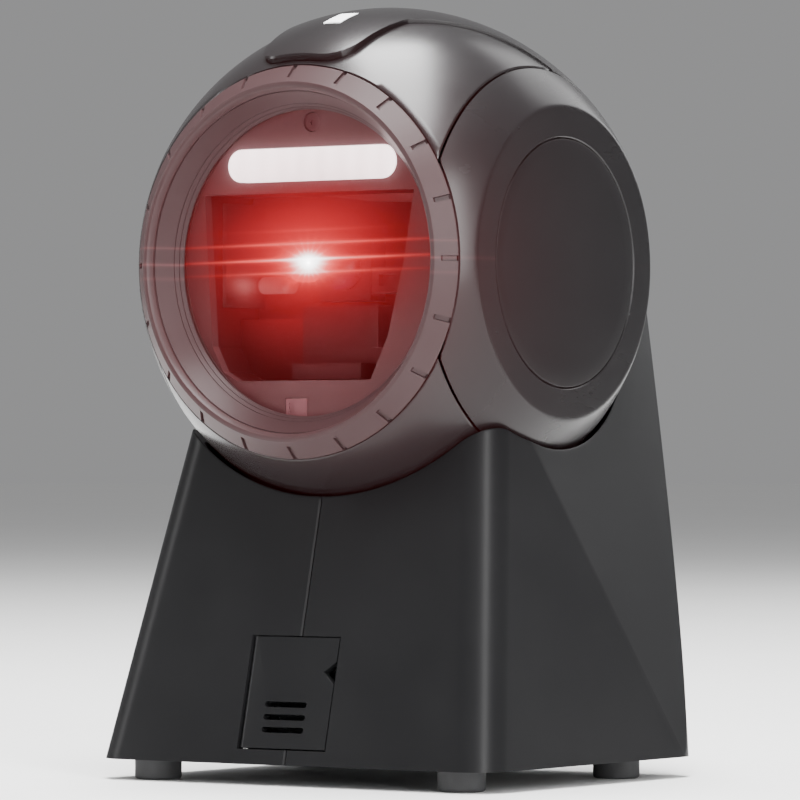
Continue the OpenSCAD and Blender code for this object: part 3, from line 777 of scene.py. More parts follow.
@dataclass
class Stand:
    """The tapered stand: two shells with a ball socket, the feet and the service door.

    Attributes:
        side_lean: inward lean of the sides, per height.
        front_lean: backward lean of the front face, per height.
        rear_lean: backward lean of the rear face, per height.
        front_corner: radius of the front corners.
        rear_corner: radius of the rear corners.
        facet_distance: distance of each rear facet's plane from the drawing's origin.
        facet_pitch: upward turn of the facet's normal, degrees.
        facet_yaw: backward turn of the facet's normal, degrees.
        wall: thickness of the walls.
        socket_radius: radius of the ball socket.
        arch_radius: radius of the spine's round top.
        seam: half the width of the joint between the shells.
        groove: depth of the shells' rounded edges at the joint.
        level_z: height up to which the rows of points are level.
        lip: width of the rounded edge round the socket.
        door_right, door_left: distance of the door opening's edges from the middle.
        door_low, door_high: the door opening's ends, up the front face.
        socket_half, socket_low, socket_high: half width and heights of the rear inlet.
        foot_radius, foot_round: radius of the feet and of their lower edge.
        drain_z: height of the first row over the bottom edge.
        ball: the ball's centre.
    """

    side_lean: float = 0.15
    front_lean: float = 0.24
    rear_lean: float = 0.132
    front_corner: float = 7.0
    rear_corner: float = 8.0
    facet_distance: float = 48.5
    facet_pitch: float = 12.07
    facet_yaw: float = 5.6
    wall: float = 2.4
    socket_radius: float = 50.3
    arch_radius: float = 60.0
    seam: float = 0.07
    groove: float = 0.3
    level_z: float = 40.0
    lip: float = 0.9
    door_right: float = 9.1
    door_left: float = 11.5
    door_low: float = 2.9
    door_high: float = 24.9
    socket_half: float = 9.0
    socket_low: float = 10.7
    socket_high: float = 24.1
    foot_radius: float = 4.5
    foot_round: float = 0.7
    drain_z: float = 0.25
    ball: np.ndarray = field(default_factory=lambda: np.array(frame["joints"][0]["pos_m"]) / MM)

    def __post_init__(self) -> None:
        """Reads the stand's limits from its node's box."""
        low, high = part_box("stand_shell_right")
        self.base_z, self.top_z = low.z / MM, high.z / MM
        self.half_width, self.front = high.x / MM, low.y / MM
        self.rear = high.y / MM - self.rear_lean * (self.top_z - self.base_z)

    def outline(self, z: np.ndarray, inset: float, door_edge: float) -> np.ndarray:
        """Right half of the stand's level outline, from the front seam round to the rear seam.

        Each row is one height. The outline runs along the front line, a corner arc, the side
        line, the straight chord where the facet's plane cuts the rear corner, the rest of the
        rear arc and the rear line; every stretch has its own fixed count of points.

        Args:
            z: heights, one per row, or rows x columns.
            inset: distance inside the outer surface.
            door_edge: X of the door opening's edge on the front line.

        Returns:
            rows x columns x 2 points when z has one column, or the diagonal of such a grid.
        """
        rise = z - self.base_z
        w = self.half_width - self.side_lean * rise - inset
        f = self.front + self.front_lean * rise + inset
        r = self.rear + self.rear_lean * rise - inset
        rf, rr = self.front_corner - inset, self.rear_corner - inset
        pitch, yaw = math.radians(self.facet_pitch), math.radians(self.facet_yaw)
        reach = (self.facet_distance - inset - math.sin(pitch) * z) / math.cos(pitch)
        past = reach - math.cos(yaw) * (w - rr) - math.sin(yaw) * (r - rr - self.ball[1])
        span = np.arccos(np.clip(past / rr, -1.0, 1.0))
        cut_arc = yaw - span > 0.0
        front_angle, rear_angle = np.maximum(yaw - span, 0.0), yaw + span
        chord_y = (reach - math.cos(yaw) * w) / math.sin(yaw) + self.ball[1]
        side_end = np.where(cut_arc, r - rr, np.clip(chord_y, f + rf + 0.2, r - rr))
        zero, quarter = 0.0 * w, math.pi / 2

        def line(x0: Grid, y0: Grid, x1: Grid, y1: Grid, steps: np.ndarray) -> np.ndarray:
            """Points from the first place to the second."""
            return np.stack([x0 + (x1 - x0) * steps, y0 + (y1 - y0) * steps], axis=-1)

        def front_bend(a0: Grid, a1: Grid, steps: np.ndarray) -> np.ndarray:
            """Points of the front corner's arc between two angles."""
            a = a0 + (a1 - a0) * steps
            return np.stack([w - rf + rf * np.cos(a), f + rf + rf * np.sin(a)], axis=-1)

        def rear_bend(a0: Grid, a1: Grid, steps: np.ndarray) -> np.ndarray:
            """Points of the rear corner's arc between two angles."""
            a = a0 + (a1 - a0) * steps
            return np.stack([w - rr + rr * np.cos(a), r - rr + rr * np.sin(a)], axis=-1)

        def inner(steps: np.ndarray) -> np.ndarray:
            """Steps without the first, which the stretch before has."""
            return steps[1:]

        still = np.zeros(1)
        front_end = rear_bend(front_angle, front_angle, still)
        rear_end = rear_bend(rear_angle, rear_angle, still)
        chord_x = np.where(cut_arc, front_end[..., 0], w)
        chord_start = np.where(cut_arc, front_end[..., 1], side_end)
        seam_steps = np.concatenate([[0.0, 0.03], np.linspace(0.1, 1.0, 7)])
        short = inner(np.linspace(0, 1, 4))
        parts = [
            line(self.seam + zero, f, door_edge + zero, f, seam_steps),
            line(door_edge + zero, f, w - rf, f, inner(np.linspace(0, 1, 12))),
            front_bend(zero - quarter, zero, inner(np.linspace(0, 1, 22))),
            line(w, f + rf, w, side_end, inner(eased(14, 0.03))),
            np.where(cut_arc[..., None], rear_bend(zero, front_angle, short),
                     line(w, side_end, w, side_end, short)),
            line(chord_x, chord_start, rear_end[..., 0], rear_end[..., 1], inner(eased(16))),
            rear_bend(rear_angle, zero + quarter, inner(np.linspace(0, 1, 18))),
            line(w - rr, r, self.socket_half + zero, r, inner(np.linspace(0, 1, 9))),
            line(self.socket_half + zero, r, self.seam + zero, r, inner(1 - seam_steps[::-1])),
        ]
        return np.concatenate(parts, axis=1)

    def at(self, z: np.ndarray, inset: float, door_edge: float) -> np.ndarray:
        """Surface points for a grid of heights whose columns are those of the outline."""
        rows, columns = z.shape
        points = np.empty((rows, columns, 3))
        points[..., 2] = z
        each = self.outline(z.reshape(-1, 1), inset, door_edge).reshape(rows, columns, columns, 2)
        points[..., :2] = np.take_along_axis(each, np.arange(columns)[None, :, None, None], axis=2)[:, :, 0]
        return points

    def rim_heights(self, door_edge: float) -> np.ndarray:
        """Height at which each column meets the ball socket or the spine's round top.

        The smaller of (distance to the ball's centre - socket radius) and (arch height - z)
        is positive below the rim; its first zero is found on a fine ladder of heights.
        """
        ladder = np.linspace(self.level_z, self.top_z + 1.0, 700)[:, None]
        flat = self.outline(ladder, 0.0, door_edge)
        gap = np.sqrt(((flat - self.ball[:2]) ** 2).sum(-1) + (ladder - self.ball[2]) ** 2) - self.socket_radius
        arch = np.sqrt(np.maximum(self.arch_radius ** 2 - flat[..., 0] ** 2, 0.0))
        crown = self.top_z - self.arch_radius + arch - ladder
        room = np.minimum(gap, crown)
        first = np.argmax(room < 0, axis=0)
        columns = np.arange(room.shape[1])
        before, after = room[first - 1, columns], room[first, columns]
        step = ladder[1, 0] - ladder[0, 0]
        return ladder[first - 1, 0] + step * before / (before - after)

    def half(self, mirrored: bool) -> Sheet:
        """One shell: outer wall, rounded lip, skirt along the socket and an inner wall.

        The lip is a cubic curve from the wall over the sharp corner to the socket. The skirt
        runs down the socket by an angle that grows behind the ball. The inner wall climbs
        evenly from the foot of the wall to the skirt's end.

        Args:
            mirrored: whether it is the left shell.

        Returns:
            The closed surface.
        """
        door_edge = self.door_left if mirrored else self.door_right
        lean = math.cos(math.atan(self.front_lean))
        door_z = [self.base_z + lean * u for u in (self.door_low, self.door_high)]
        level = np.unique(np.concatenate([
            [self.base_z, self.base_z + self.drain_z], np.linspace(self.base_z, self.level_z, 22),
            door_z, [self.socket_low, self.socket_high]]))
        rim = self.rim_heights(door_edge)
        upper = np.linspace(0, 1, 40)[1:, None]
        z = np.concatenate([np.repeat(level[:, None], len(rim), axis=1),
                            self.level_z + (rim - self.lip - self.level_z) * upper])
        wall = self.at(z, 0.0, door_edge)
        start = wall[-1]
        corner = self.at(rim[None], 0.0, door_edge)[0]
        away = corner - self.ball
        ring = np.sqrt(self.socket_radius ** 2 - away[:, 2] ** 2)
        pull = np.minimum(ring / np.hypot(away[:, 0], away[:, 1]), 1.0)
        inward = np.stack([away[:, 0] * pull, away[:, 1] * pull, away[:, 2]], axis=-1)
        slope = np.arctan2(ring, -away[:, 2])
        heading = np.arctan2(inward[:, 1], inward[:, 0])

        def on_socket(angle: np.ndarray) -> np.ndarray:
            """Points of the socket at an angle from straight down."""
            return self.ball + self.socket_radius * np.stack(
                [np.sin(angle) * np.cos(heading), np.sin(angle) * np.sin(heading), -np.cos(angle)], axis=-1)

        end = on_socket(slope - self.lip / self.socket_radius)
        t = np.linspace(0, 1, 9)[1:, None, None]
        inner_corner = inward + self.ball
        lip = ((1 - t) ** 3 * start + 3 * (1 - t) ** 2 * t * corner
               + 3 * (1 - t) * t ** 2 * inner_corner + t ** 3 * end)
        depth = 0.05 + 0.9 * np.maximum(slope - 1.1, 0.0)
        skirt = np.stack([on_socket(slope - self.lip / self.socket_radius - depth * k)
                          for k in np.linspace(0, 1, 7)[1:]])
        outer = np.concatenate([wall, lip, skirt])
        foot = self.at(np.full((1, len(rim)), self.base_z), self.wall, door_edge)[0]
        climb = (z - self.base_z) / (rim - self.base_z) * 0.93
        rest = 0.93 + 0.05 * np.linspace(0, 1, len(lip) + len(skirt))[:, None] * np.ones(len(rim))
        climb = np.concatenate([climb, rest])[..., None]
        inner = foot + (skirt[-1] - foot) * climb
        middle = centres(outer)
        opening = ((middle[..., 0] < door_edge) & (middle[..., 1] < 0)
                   & (middle[..., 2] > door_z[0]) & (middle[..., 2] < door_z[1]))
        inlet = ((middle[..., 0] < self.socket_half) & (middle[..., 1] > 0)
                 & (middle[..., 2] > self.socket_low) & (middle[..., 2] < self.socket_high))
        outer[:len(z), 0, 1] += self.groove
        outer[:len(z), -1, 1] -= self.groove
        sheet = walled(outer, inner, ~(opening | inlet))
        if mirrored:
            sheet.points[:, 0] *= -1
        return sheet

    def feet(self) -> Sheet:
        """Four turned feet with a rounded lower edge, on the places of the CAD feet."""
        low, high = (np.array(corner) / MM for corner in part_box("rubber_feet"))
        radius, inset = self.foot_radius, self.foot_radius - self.foot_round
        profile = [(0.0, 0.0), (inset, 0.0)] + arc((inset, self.foot_round), self.foot_round, -60, 0, 5)
        profile += [(radius, high[2]), (0.0, high[2])]

        def place_at(x: float, y: float) -> Placing:
            """Places a foot's points round its own axis."""
            return lambda r, h, a: np.stack([x + r * np.cos(a), y + r * np.sin(a), h], -1)

        return Sheet.together([turned(profile, even(48), place_at(x, y))
                               for x in (low[0] + radius, high[0] - radius)
                               for y in (low[1] + radius, high[1] - radius)])

    def build(self) -> None:
        """Makes the shells, the feet and the door."""
        x, y, z = self.ball * MM
        # Painted light: a faint red emission on the stand's front top stands in for the aiming lamp's red light
        # spilling onto it.
        painted_stand_spill = Glow((x + 0.012, y - 0.042, z - 0.018), 19.0, (1.0, 0.03, 0.03), 0.03)
        eroded = Plastic("black_eroded_plastic", JET, 0.36, 0.32, 0.004, 0.035, 0.003, 0.11, (painted_stand_spill,)).make()
        rubber = Rubber("foot_rubber_black", (0.02, 0.02, 0.021), (0.05, 0.05, 0.052)).make()
        satin = Plastic("black_satin_door", JET, 0.34, 0.3, 0.004, 0.035, 0.003, 0.12).make()
        for word, mirrored in (("left", True), ("right", False)):
            make_piece(f"stand_{word}", self.half(mirrored), eroded, Body.STAND, "stand_plastic",
                       [f"stand_shell_{word}"], 30)
        make_piece("rubber_feet_turned", self.feet(), rubber, Body.STAND, "foot_rubber", ["rubber_feet"])
        softened("service_door_lid", "service_door", satin, Body.DOOR, 0.16)


# ---------------------------------------------------------------- the head


@dataclass
class Head:
    """The ball head: shells, cheeks, bezel and the lit optics behind the window.

    Attributes:
        radius: radius of the ball.
        wall: thickness of the shells.
        seam_x: distance of the cheek seams from the middle.
        flat_x: distance of the cheeks' flat faces.
        front: distance of the bezel joint in front of the tilt axis.
        split_y: the shells' joint behind the axis, at the cheek seams and underneath.
        gap: half the joint between shells.
        chamfer: rounding of the shells' edges, as a part of their wall.
        slot_half, slot_front, slot_rear: half width and ends of the stem's slot underneath.
        skin_radius, skin_shift: radius and forward shift of the tongue's raised skin.
        tip_radius, tip_half, tip_y: corner radius, half width and corner centre of the tongue's tip.
        tongue_half, tongue_y: half width and place of the tongue's root.
        light_half, light_y: half width and ends of the status light's opening.
        disc_radius, disc_round: radius of the cheeks' discs and of their rounded edge.
        knee: radius inside which a cheek is flat.
        ticks, tick_half, tick_depth: count, half width and depth of the bezel's slots.
        tick_radius: radius at which their width counts.
        lamp_base: distance of the lamps' feet in front of the tilt axis.
        aimer: X and Z of the aiming lamp.
        fills: X, Z and whether it stands up, for each fill lamp.
        pivot: the tilt axis' middle.
    """

    radius: float = 49.5
    wall: float = 2.4
    seam_x: float = 32.5
    flat_x: float = 39.5
    front: float = 32.5
    split_y: float = 6.0
    gap: float = 0.08
    chamfer: float = 0.09
    slot_half: float = 6.8
    slot_front: float = -9.0
    slot_rear: float = 30.5
    skin_radius: float = 49.94
    skin_shift: float = 1.47
    tip_radius: float = 6.3
    tip_half: float = 4.5
    tip_y: float = -25.2
    tongue_half: float = 12.8
    tongue_y: float = -14.0
    light_half: float = 2.2
    light_y: tuple[float, float] = (-21.0, -15.0)
    disc_radius: float = 23.6
    disc_round: float = 0.35
    knee: float = 30.6
    ticks: int = 20
    tick_half: float = 0.5
    tick_depth: float = 0.5
    tick_radius: float = 35.6
    lamp_base: float = 11.75
    aimer: tuple[float, float] = (-11.6, -0.6)
    fills: tuple[tuple[float, float, bool], ...] = ((-18.4, -3.6, False), (19.6, 4.0, True))
    pivot: np.ndarray = field(default_factory=lambda: np.array(frame["joints"][0]["pos_m"]) / MM)

    def joint_line(self) -> tuple[np.ndarray, np.ndarray]:
        """The joint between front and rear shell on the right half, seen from above.

        A flat tip, an arc round the tip's corner, its tangent to the tongue's root, and a
        flare whose width grows as 1 - cos and whose depth as t sin t.

        Returns:
            X, strictly growing, and Y.
        """
        tip = np.array([self.tip_half, self.tip_y])
        root = np.array([self.tongue_half, self.tongue_y])
        turn = math.atan2(*(root - tip)[::-1]) - math.acos(self.tip_radius / np.hypot(*(root - tip)))
        bend = np.linspace(-math.pi / 2, turn, 15)[:, None]
        corner = tip + self.tip_radius * np.concatenate([np.cos(bend), np.sin(bend)], axis=1)
        side = np.linspace(0, 1, 9)[1:, None]
        straight = corner[-1] + (root - corner[-1]) * side
        t = np.linspace(0, 1, 26)[1:, None]
        flare = root + np.concatenate([(self.seam_x - root[0]) * (1 - np.cos(t * math.pi / 2)),
                                       20 * t * np.sin(t * math.pi / 2)], axis=1)
        flat = np.array([[x, self.tip_y - self.tip_radius]
                         for x in (0.0, self.light_half / 2, self.light_half, 3.4)])
        x, y = np.concatenate([flat, corner, straight, flare]).T.copy()
        near = np.searchsorted(x, self.slot_half)
        x[near] = self.slot_half
        y[near] = self.tip_y - math.sqrt(self.tip_radius ** 2 - (self.slot_half - self.tip_half) ** 2)
        return x, y

    def columns(self) -> tuple[np.ndarray, np.ndarray]:
        """The joint line over the whole width, with a short step before each cheek seam."""
        x, y = self.joint_line()
        edge = self.seam_x - self.gap
        x = np.concatenate([x[:-1], [edge - 0.25, edge]])
        y = np.concatenate([y[:-1], [y[-1] - 0.1, y[-1]]])
        keep = np.concatenate([[True], np.diff(x) > 1e-6])
        x, y = x[keep], y[keep]
        return np.concatenate([-x[:0:-1], x]), np.concatenate([y[:0:-1], y])

    def skin(self, x: np.ndarray, y: np.ndarray, z: np.ndarray, raised: bool) -> np.ndarray:
        """Pushes points of the ball out to the tongue's raised skin.

        The skin is a slightly larger sphere set forwards: along a direction d its distance is
        c.d + sqrt((c.d)^2 + R^2 - c^2), and the larger of that and the ball's radius counts.

        Args:
            x, y, z: points on the ball.
            raised: whether the skin applies.

        Returns:
            The points, in the head's frame.
        """
        points = np.stack([x, y, z], axis=-1)
        if raised:
            along = -self.skin_shift * y / self.radius
            reach = along + np.sqrt(along ** 2 + self.skin_radius ** 2 - self.skin_shift ** 2)
            reach = np.where(z > 0, np.maximum(reach, self.radius), self.radius)
            points = points * (reach / self.radius)[..., None]
        return points

    def shell(self, outer: np.ndarray, inner: np.ndarray, keep: Optional[np.ndarray]) -> Sheet:
        """Closes a shell between its outer and inner points, moved to its place."""
        return walled(outer + self.pivot, inner + self.pivot, keep, chamfer=self.chamfer)

    def slot_mask(self, grid: np.ndarray) -> np.ndarray:
        """Cells outside the stem's slot under the head."""
        middle = centres(grid)
        return ~((np.abs(middle[..., 0]) < self.slot_half) & (middle[..., 2] < 0)
                 & (middle[..., 1] > self.slot_front) & (middle[..., 1] < self.slot_rear))

    def front_shell(self) -> Sheet:
        """Upper and lower parts of the front shell, as bands of the ball between two levels of Y."""
        x, joint = self.columns()
        ring = np.sqrt(self.radius ** 2 - x ** 2)
        start = np.arcsin(-self.front / ring)
        steps = eased(26, 0.012)[:, None]
        upper = start + (np.arcsin((joint - 2 * self.gap) / ring) - start) * steps
        lower_end = -math.pi - np.arcsin((self.split_y - self.gap) / ring)
        lower_steps = eased(64, 0.006)[:, None]
        lower = -math.pi - start + (lower_end + math.pi + start) * lower_steps
        parts = []
        for angle in (upper, lower):
            wide = np.broadcast_to(x, angle.shape)
            outer = np.stack([wide, ring * np.sin(angle), ring * np.cos(angle)], axis=-1)
            inner = outer * (1 - self.wall / self.radius)
            parts.append(self.shell(outer, inner, self.slot_mask(outer)))
        return Sheet.together(parts)

    def rear_shell(self) -> Sheet:
        """The rear shell with the raised tongue, its groove and the light's opening."""
        x, joint = self.columns()
        ring = np.sqrt(self.radius ** 2 - x ** 2)
        tip = self.tip_y - self.tip_radius
        marks = np.unique(np.concatenate([[0.0, 0.007], np.linspace(0.02, 1, 44),
                                          (np.array(self.light_y) - tip) / (self.split_y - tip)]))[:, None]
        y = joint + (self.split_y - joint) * marks
        top = np.arcsin(np.clip(y / ring, -1, 1))
        last = math.pi - np.arcsin((self.split_y + self.gap) / ring)
        back = top[-1] + (last - top[-1]) * np.append(np.linspace(0, 0.994, 70)[1:], 1.0)[:, None]
        angle = np.concatenate([top, back])
        wide = np.broadcast_to(x, angle.shape)
        outer = self.skin(wide, ring * np.sin(angle), ring * np.cos(angle), True)
        base = self.skin(wide, ring * np.sin(angle), ring * np.cos(angle), False)
        middle = centres(base)
        light = ((np.abs(middle[..., 0]) < self.light_half) & (middle[..., 2] > 0)
                 & (middle[..., 1] > self.light_y[0]) & (middle[..., 1] < self.light_y[1]))
        return self.shell(outer, base * (1 - self.wall / self.radius), self.slot_mask(base) & ~light)

    def cheek(self, side: int) -> Sheet:
        """One cheek: the ball's cap, eased into a flat, with the recess for the disc.

        The height over the seam is a smooth minimum of the ball and the flat,
        (a + b - sqrt((a - b)^2 + k)) / 2.

        Args:
            side: 1 for the right cheek, -1 for the left.

        Returns:
            The closed surface.
        """
        around = even(240)
        edge_x, inner_ball = self.seam_x + self.gap, self.radius - self.wall
        joint = self.front / np.maximum(np.cos(around), 1e-6)
        first, inner_first = (np.minimum(math.sqrt(ball ** 2 - edge_x ** 2), joint)
                              for ball in (self.radius, inner_ball))
        bore = self.disc_radius + 0.15
        steps = np.concatenate([[0.0, 0.03], np.linspace(0.1, 1, 12)])[:, None]
        level = [np.linspace(self.knee, 27.0, 16)[1:], np.linspace(27.0, bore + 0.25, 6)[1:], [bore]]
        radial = np.concatenate([first + (self.knee - first) * steps,
                                 np.repeat(np.concatenate(level)[:, None], len(around), axis=1)])
        ball = np.sqrt(self.radius ** 2 - radial ** 2)
        height = (ball + self.flat_x - np.sqrt((ball - self.flat_x) ** 2 + 0.03)) / 2
        share = (first - radial) / (first - bore)
        inner_radial = inner_first + (bore - inner_first) * share
        inner_height = np.minimum(np.sqrt(inner_ball ** 2 - inner_radial ** 2), self.flat_x - self.wall)
        place = self.sideways(side)
        return walled(place(radial, height, around), place(inner_radial, inner_height, around), around=True,
                      chamfer=self.chamfer)

    def disc(self, side: int) -> Sheet:
        """The inset disc of a cheek with its rounded edge."""
        r, face, soft = self.disc_radius, self.flat_x, self.disc_round
        profile = [(0.0, face - 1.15), (r, face - 1.15), (r, face - soft)]
        profile += arc((r - soft, face - soft), soft, 0, 90, 5)[1:] + [(r - 3.0, face), (0.0, face)]
        return turned(profile, even(160), self.sideways(side))

    def sideways(self, side: int) -> Placing:
        """Places radius, distance and angle round the tilt axis, towards one side."""
        return lambda r, h, a: np.stack([side * h, -r * np.cos(a), r * np.sin(a)], -1) + self.pivot

    def facing(self, x: float = 0.0, z: float = 0.0) -> Placing:
        """Places radius, depth and angle round an axis that points forwards at X and Z."""
        return lambda r, depth, a: np.stack([x + r * np.cos(a), -depth, z + r * np.sin(a)], -1) + self.pivot

    def bezel(self) -> Sheet:
        """The bezel ring: a cone with a rounded crest and level tick slots sunk into it."""
        outer_r, crest_r, bore_r, spigot, back = 37.1, 33.9, 32.3, 33.9, 24.5
        edge, crest = np.array([outer_r, 32.72]), np.array([crest_r, 35.8])
        cone = [tuple(edge + (crest - edge) * t) for t in np.linspace(0.02, 1, 12)]
        profile = [(spigot, self.front), (outer_r - 0.1, self.front), (outer_r, self.front + 0.1)] + cone
        profile += [(33.6, 35.87), (33.3, 35.9), (33.0, 35.8), (32.8, 35.6), (32.5, 35.1)]
        profile += [(bore_r, 34.7), (bore_r, back), (spigot, back)]
        sector, half = TURN / self.ticks, self.tick_half / self.tick_radius
        step = np.array([-1.25, -1.0, -0.9, 0.9, 1.0, 1.25]) * half
        spread = np.linspace(step[-1], sector + step[0], 9)[1:-1]
        angles = (np.arange(self.ticks)[:, None] * sector + np.concatenate([step, spread])).ravel()

        def sink(radius: np.ndarray, depth: np.ndarray, angle: np.ndarray) -> tuple[np.ndarray, np.ndarray]:
            """Moves the cone's points in the slots square to the cone, with a short slope at the sides."""
            off = np.abs((angle + sector / 2) % sector - sector / 2) / half
            across = np.clip((1.0 - off) / 0.1, 0, 1)
            along = np.clip((radius - 34.75) / 0.2, 0, 1) * (depth > 32.65)
            down = self.tick_depth * across * along
            return radius - down * 0.69, depth - down * 0.72

        return turned(profile, angles, self.facing(), sink)

    def retainer(self) -> Sheet:
        """The inner cone that holds the window, with two fine grooves cut square to it."""
        start, end, square = np.array([29.0, 29.3]), np.array([32.15, 34.2]), np.array([0.84, -0.54])
        grooves, depth = (0.155, 0.335), 0.1
        steps = (0.0, 0.06, 0.14, 0.155, 0.17, 0.25, 0.32, 0.335, 0.35, 0.5, 0.75, 1.0)
        cone = [tuple(start + (end - start) * t + square * depth * (t in grooves)) for t in steps]
        return turned([(29.0, 29.02)] + cone + [(32.25, 34.2), (32.25, 29.02)], even(200), self.facing())

    def aimer_dome(self) -> Sheet:
        """The aiming lamp: a short barrel with a rounded end."""
        radius, base = 2.5, self.lamp_base
        profile = [(0.0, base), (radius, base), (radius, 15.1)]
        profile += arc((0.0, 14.9), radius, 15, 90, 9)[:-1] + [(0.0, 17.2)]
        return turned(profile, even(40), self.facing(*self.aimer))

    def pad(self, x: float, z: float, upright: bool) -> Sheet:
        """A flat lamp package with round ends and a cushioned face.

        A small circle is drawn out by half its straight length either way, so its rings stay
        even round the ends; the face falls off as an ellipse towards the rim.

        Args:
            x, z: its middle in the head's frame.
            upright: whether it stands up.

        Returns:
            The closed surface.
        """
        end, straight, base, face, swell = 1.7, 2.15, self.lamp_base, 15.15, 0.8
        profile = [(0.0, base), (end, base), (end, face - swell)]
        profile += [(end * math.cos(a), face - swell + swell * math.sin(a))
                    for a in np.linspace(0, math.pi / 2, 8)[1:-1]]
        profile += [(0.0, face)]

        def place(radius: np.ndarray, depth: np.ndarray, angle: np.ndarray) -> np.ndarray:
            """Points of the drawn-out circle."""
            long, short = radius * np.cos(angle) + straight * np.sign(np.cos(angle)), radius * np.sin(angle)
            across, up = (short, long) if upright else (long, short)
            return np.stack([x + across, -depth, z + up], -1) + self.pivot

        return turned(profile, even(40, 0.5), place)

    def build(self) -> None:
        """Makes the shells, cheeks, bezel and lamps."""
        px, py, pz = self.pivot * MM
        lamp_x, lamp_z = px + self.aimer[0] * MM, pz + self.aimer[1] * MM
        # Painted light: emission on the shells, cheeks, discs and bezel stands in for the aiming lamp's red
        # light spilling onto them and for level streaks of its flare.
        painted_red_spill = Glow((px + 0.012, py - 0.040, lamp_z), 24.0, (1.0, 0.05, 0.055), 0.24)
        painted_flare_streaks = tuple(Glow((px, py - 0.032, lamp_z + rise * MM), 34.0, (1.0, 0.32, 0.34), level, thin_mm=thin)
                       for rise, level, thin in ((0.7, 0.42, 0.32), (3.9, 0.26, 0.3), (-2.0, 0.12, 0.5)))
        painted_cheek_streak = Glow(painted_flare_streaks[0].centre, 20.0, (1.0, 0.2, 0.22), 0.5, thin_mm=0.5)
        ring_glows = (Glow((lamp_x, py - 0.034, lamp_z), 24.0, (1.0, 0.045, 0.05), 0.045), *painted_flare_streaks)
        gloss = Plastic("black_glossy_shell", JET, 0.25, 0.3, 0.002, 0.035, 0.003, 0.3, (painted_red_spill, *painted_flare_streaks)).make()
        cheek = Plastic("black_glossy_cheek", JET, 0.27, 0.3, 0.002, 0.035, 0.003, 0.22, (painted_red_spill, painted_cheek_streak)).make()
        disc = Plastic("black_satin_disc", (0.005, 0.005, 0.0055), 0.4, 0.3, 0.004, 0.035, 0.003, 0.1,
                       (painted_red_spill,)).make()
        # The red tint of the bezel's and retainer's base colours is painted red light from the aiming lamp, on
        # grey plastic.
        ring = Plastic("grey_satin_painted_red_light", (0.036, 0.017, 0.018), 0.42, 0.28, 0.005, 0.04, 0.006, 0.2,
                       ring_glows).make()
        inner = Plastic("grey_inner_painted_red_light", (0.03, 0.013, 0.014), 0.40, 0.28, 0.004, 0.04, 0.005, 0.2,
                        ring_glows).make()
        red = ClearLens("lit_red_dome", (1.0, 0.2, 0.15), (1.0, 0.35, 0.3), (1.0, 0.10, 0.08), 7.0).make()
        clear = ClearLens("clear_lamp_dome", (0.62, 0.3, 0.3), (0.75, 0.45, 0.45), (1.0, 0.08, 0.08),
                          0.05).make()
        pads = Sheet.together([self.pad(*fill) for fill in self.fills])
        pieces = [("head_front_shell", self.front_shell(), gloss, "head_plastic", "front_shell"),
                  ("head_rear_shell", self.rear_shell(), gloss, "head_plastic", "rear_shell")]
        for side, word in ((1, "right"), (-1, "left")):
            pieces += [(f"cheek_{word}", self.cheek(side), cheek, "cheek_plastic", f"cheek_shell_{word}"),
                       (f"cheek_{word}_inset", self.disc(side), disc, "disc_plastic", f"cheek_disc_{word}")]
        pieces += [("bezel_ring_turned", self.bezel(), ring, "bezel_plastic", "bezel_ring", 25.0),
                   ("window_retainer_turned", self.retainer(), inner, "retainer_plastic", "window_retainer",
                    25.0),
                   ("aimer_lamp_dome", self.aimer_dome(), red, "aimer_glow", "aimer_lamp"),
                   ("fill_lamp_domes", pads, clear, "lamp_lens", "fill_lamps")]
        for name, sheet, finish, slot, node, *sharp_deg in pieces:
            make_piece(name, sheet, finish, Body.HEAD, slot, [node], *sharp_deg)


# ---------------------------------------------------------------- carried-over nodes


Finish = Union[Plastic, Metal, Rubber, Laminate, LitDiffuser, ClearLens, LitWindow]


def dress(finish: Finish, *nodes: str) -> None:
    """Gives CAD nodes a finish in place of their plain one.

    Args:
        finish: the finish.
        nodes: the nodes' names.
    """
    material = finish.make()
    for name in nodes:
        mesh = frame["nodes"][name].data
        for place in range(len(mesh.materials)):
            mesh.materials[place] = material
        if not mesh.materials:
            mesh.materials.append(material)
        LOG.info("%s wears %s", name, material.name)


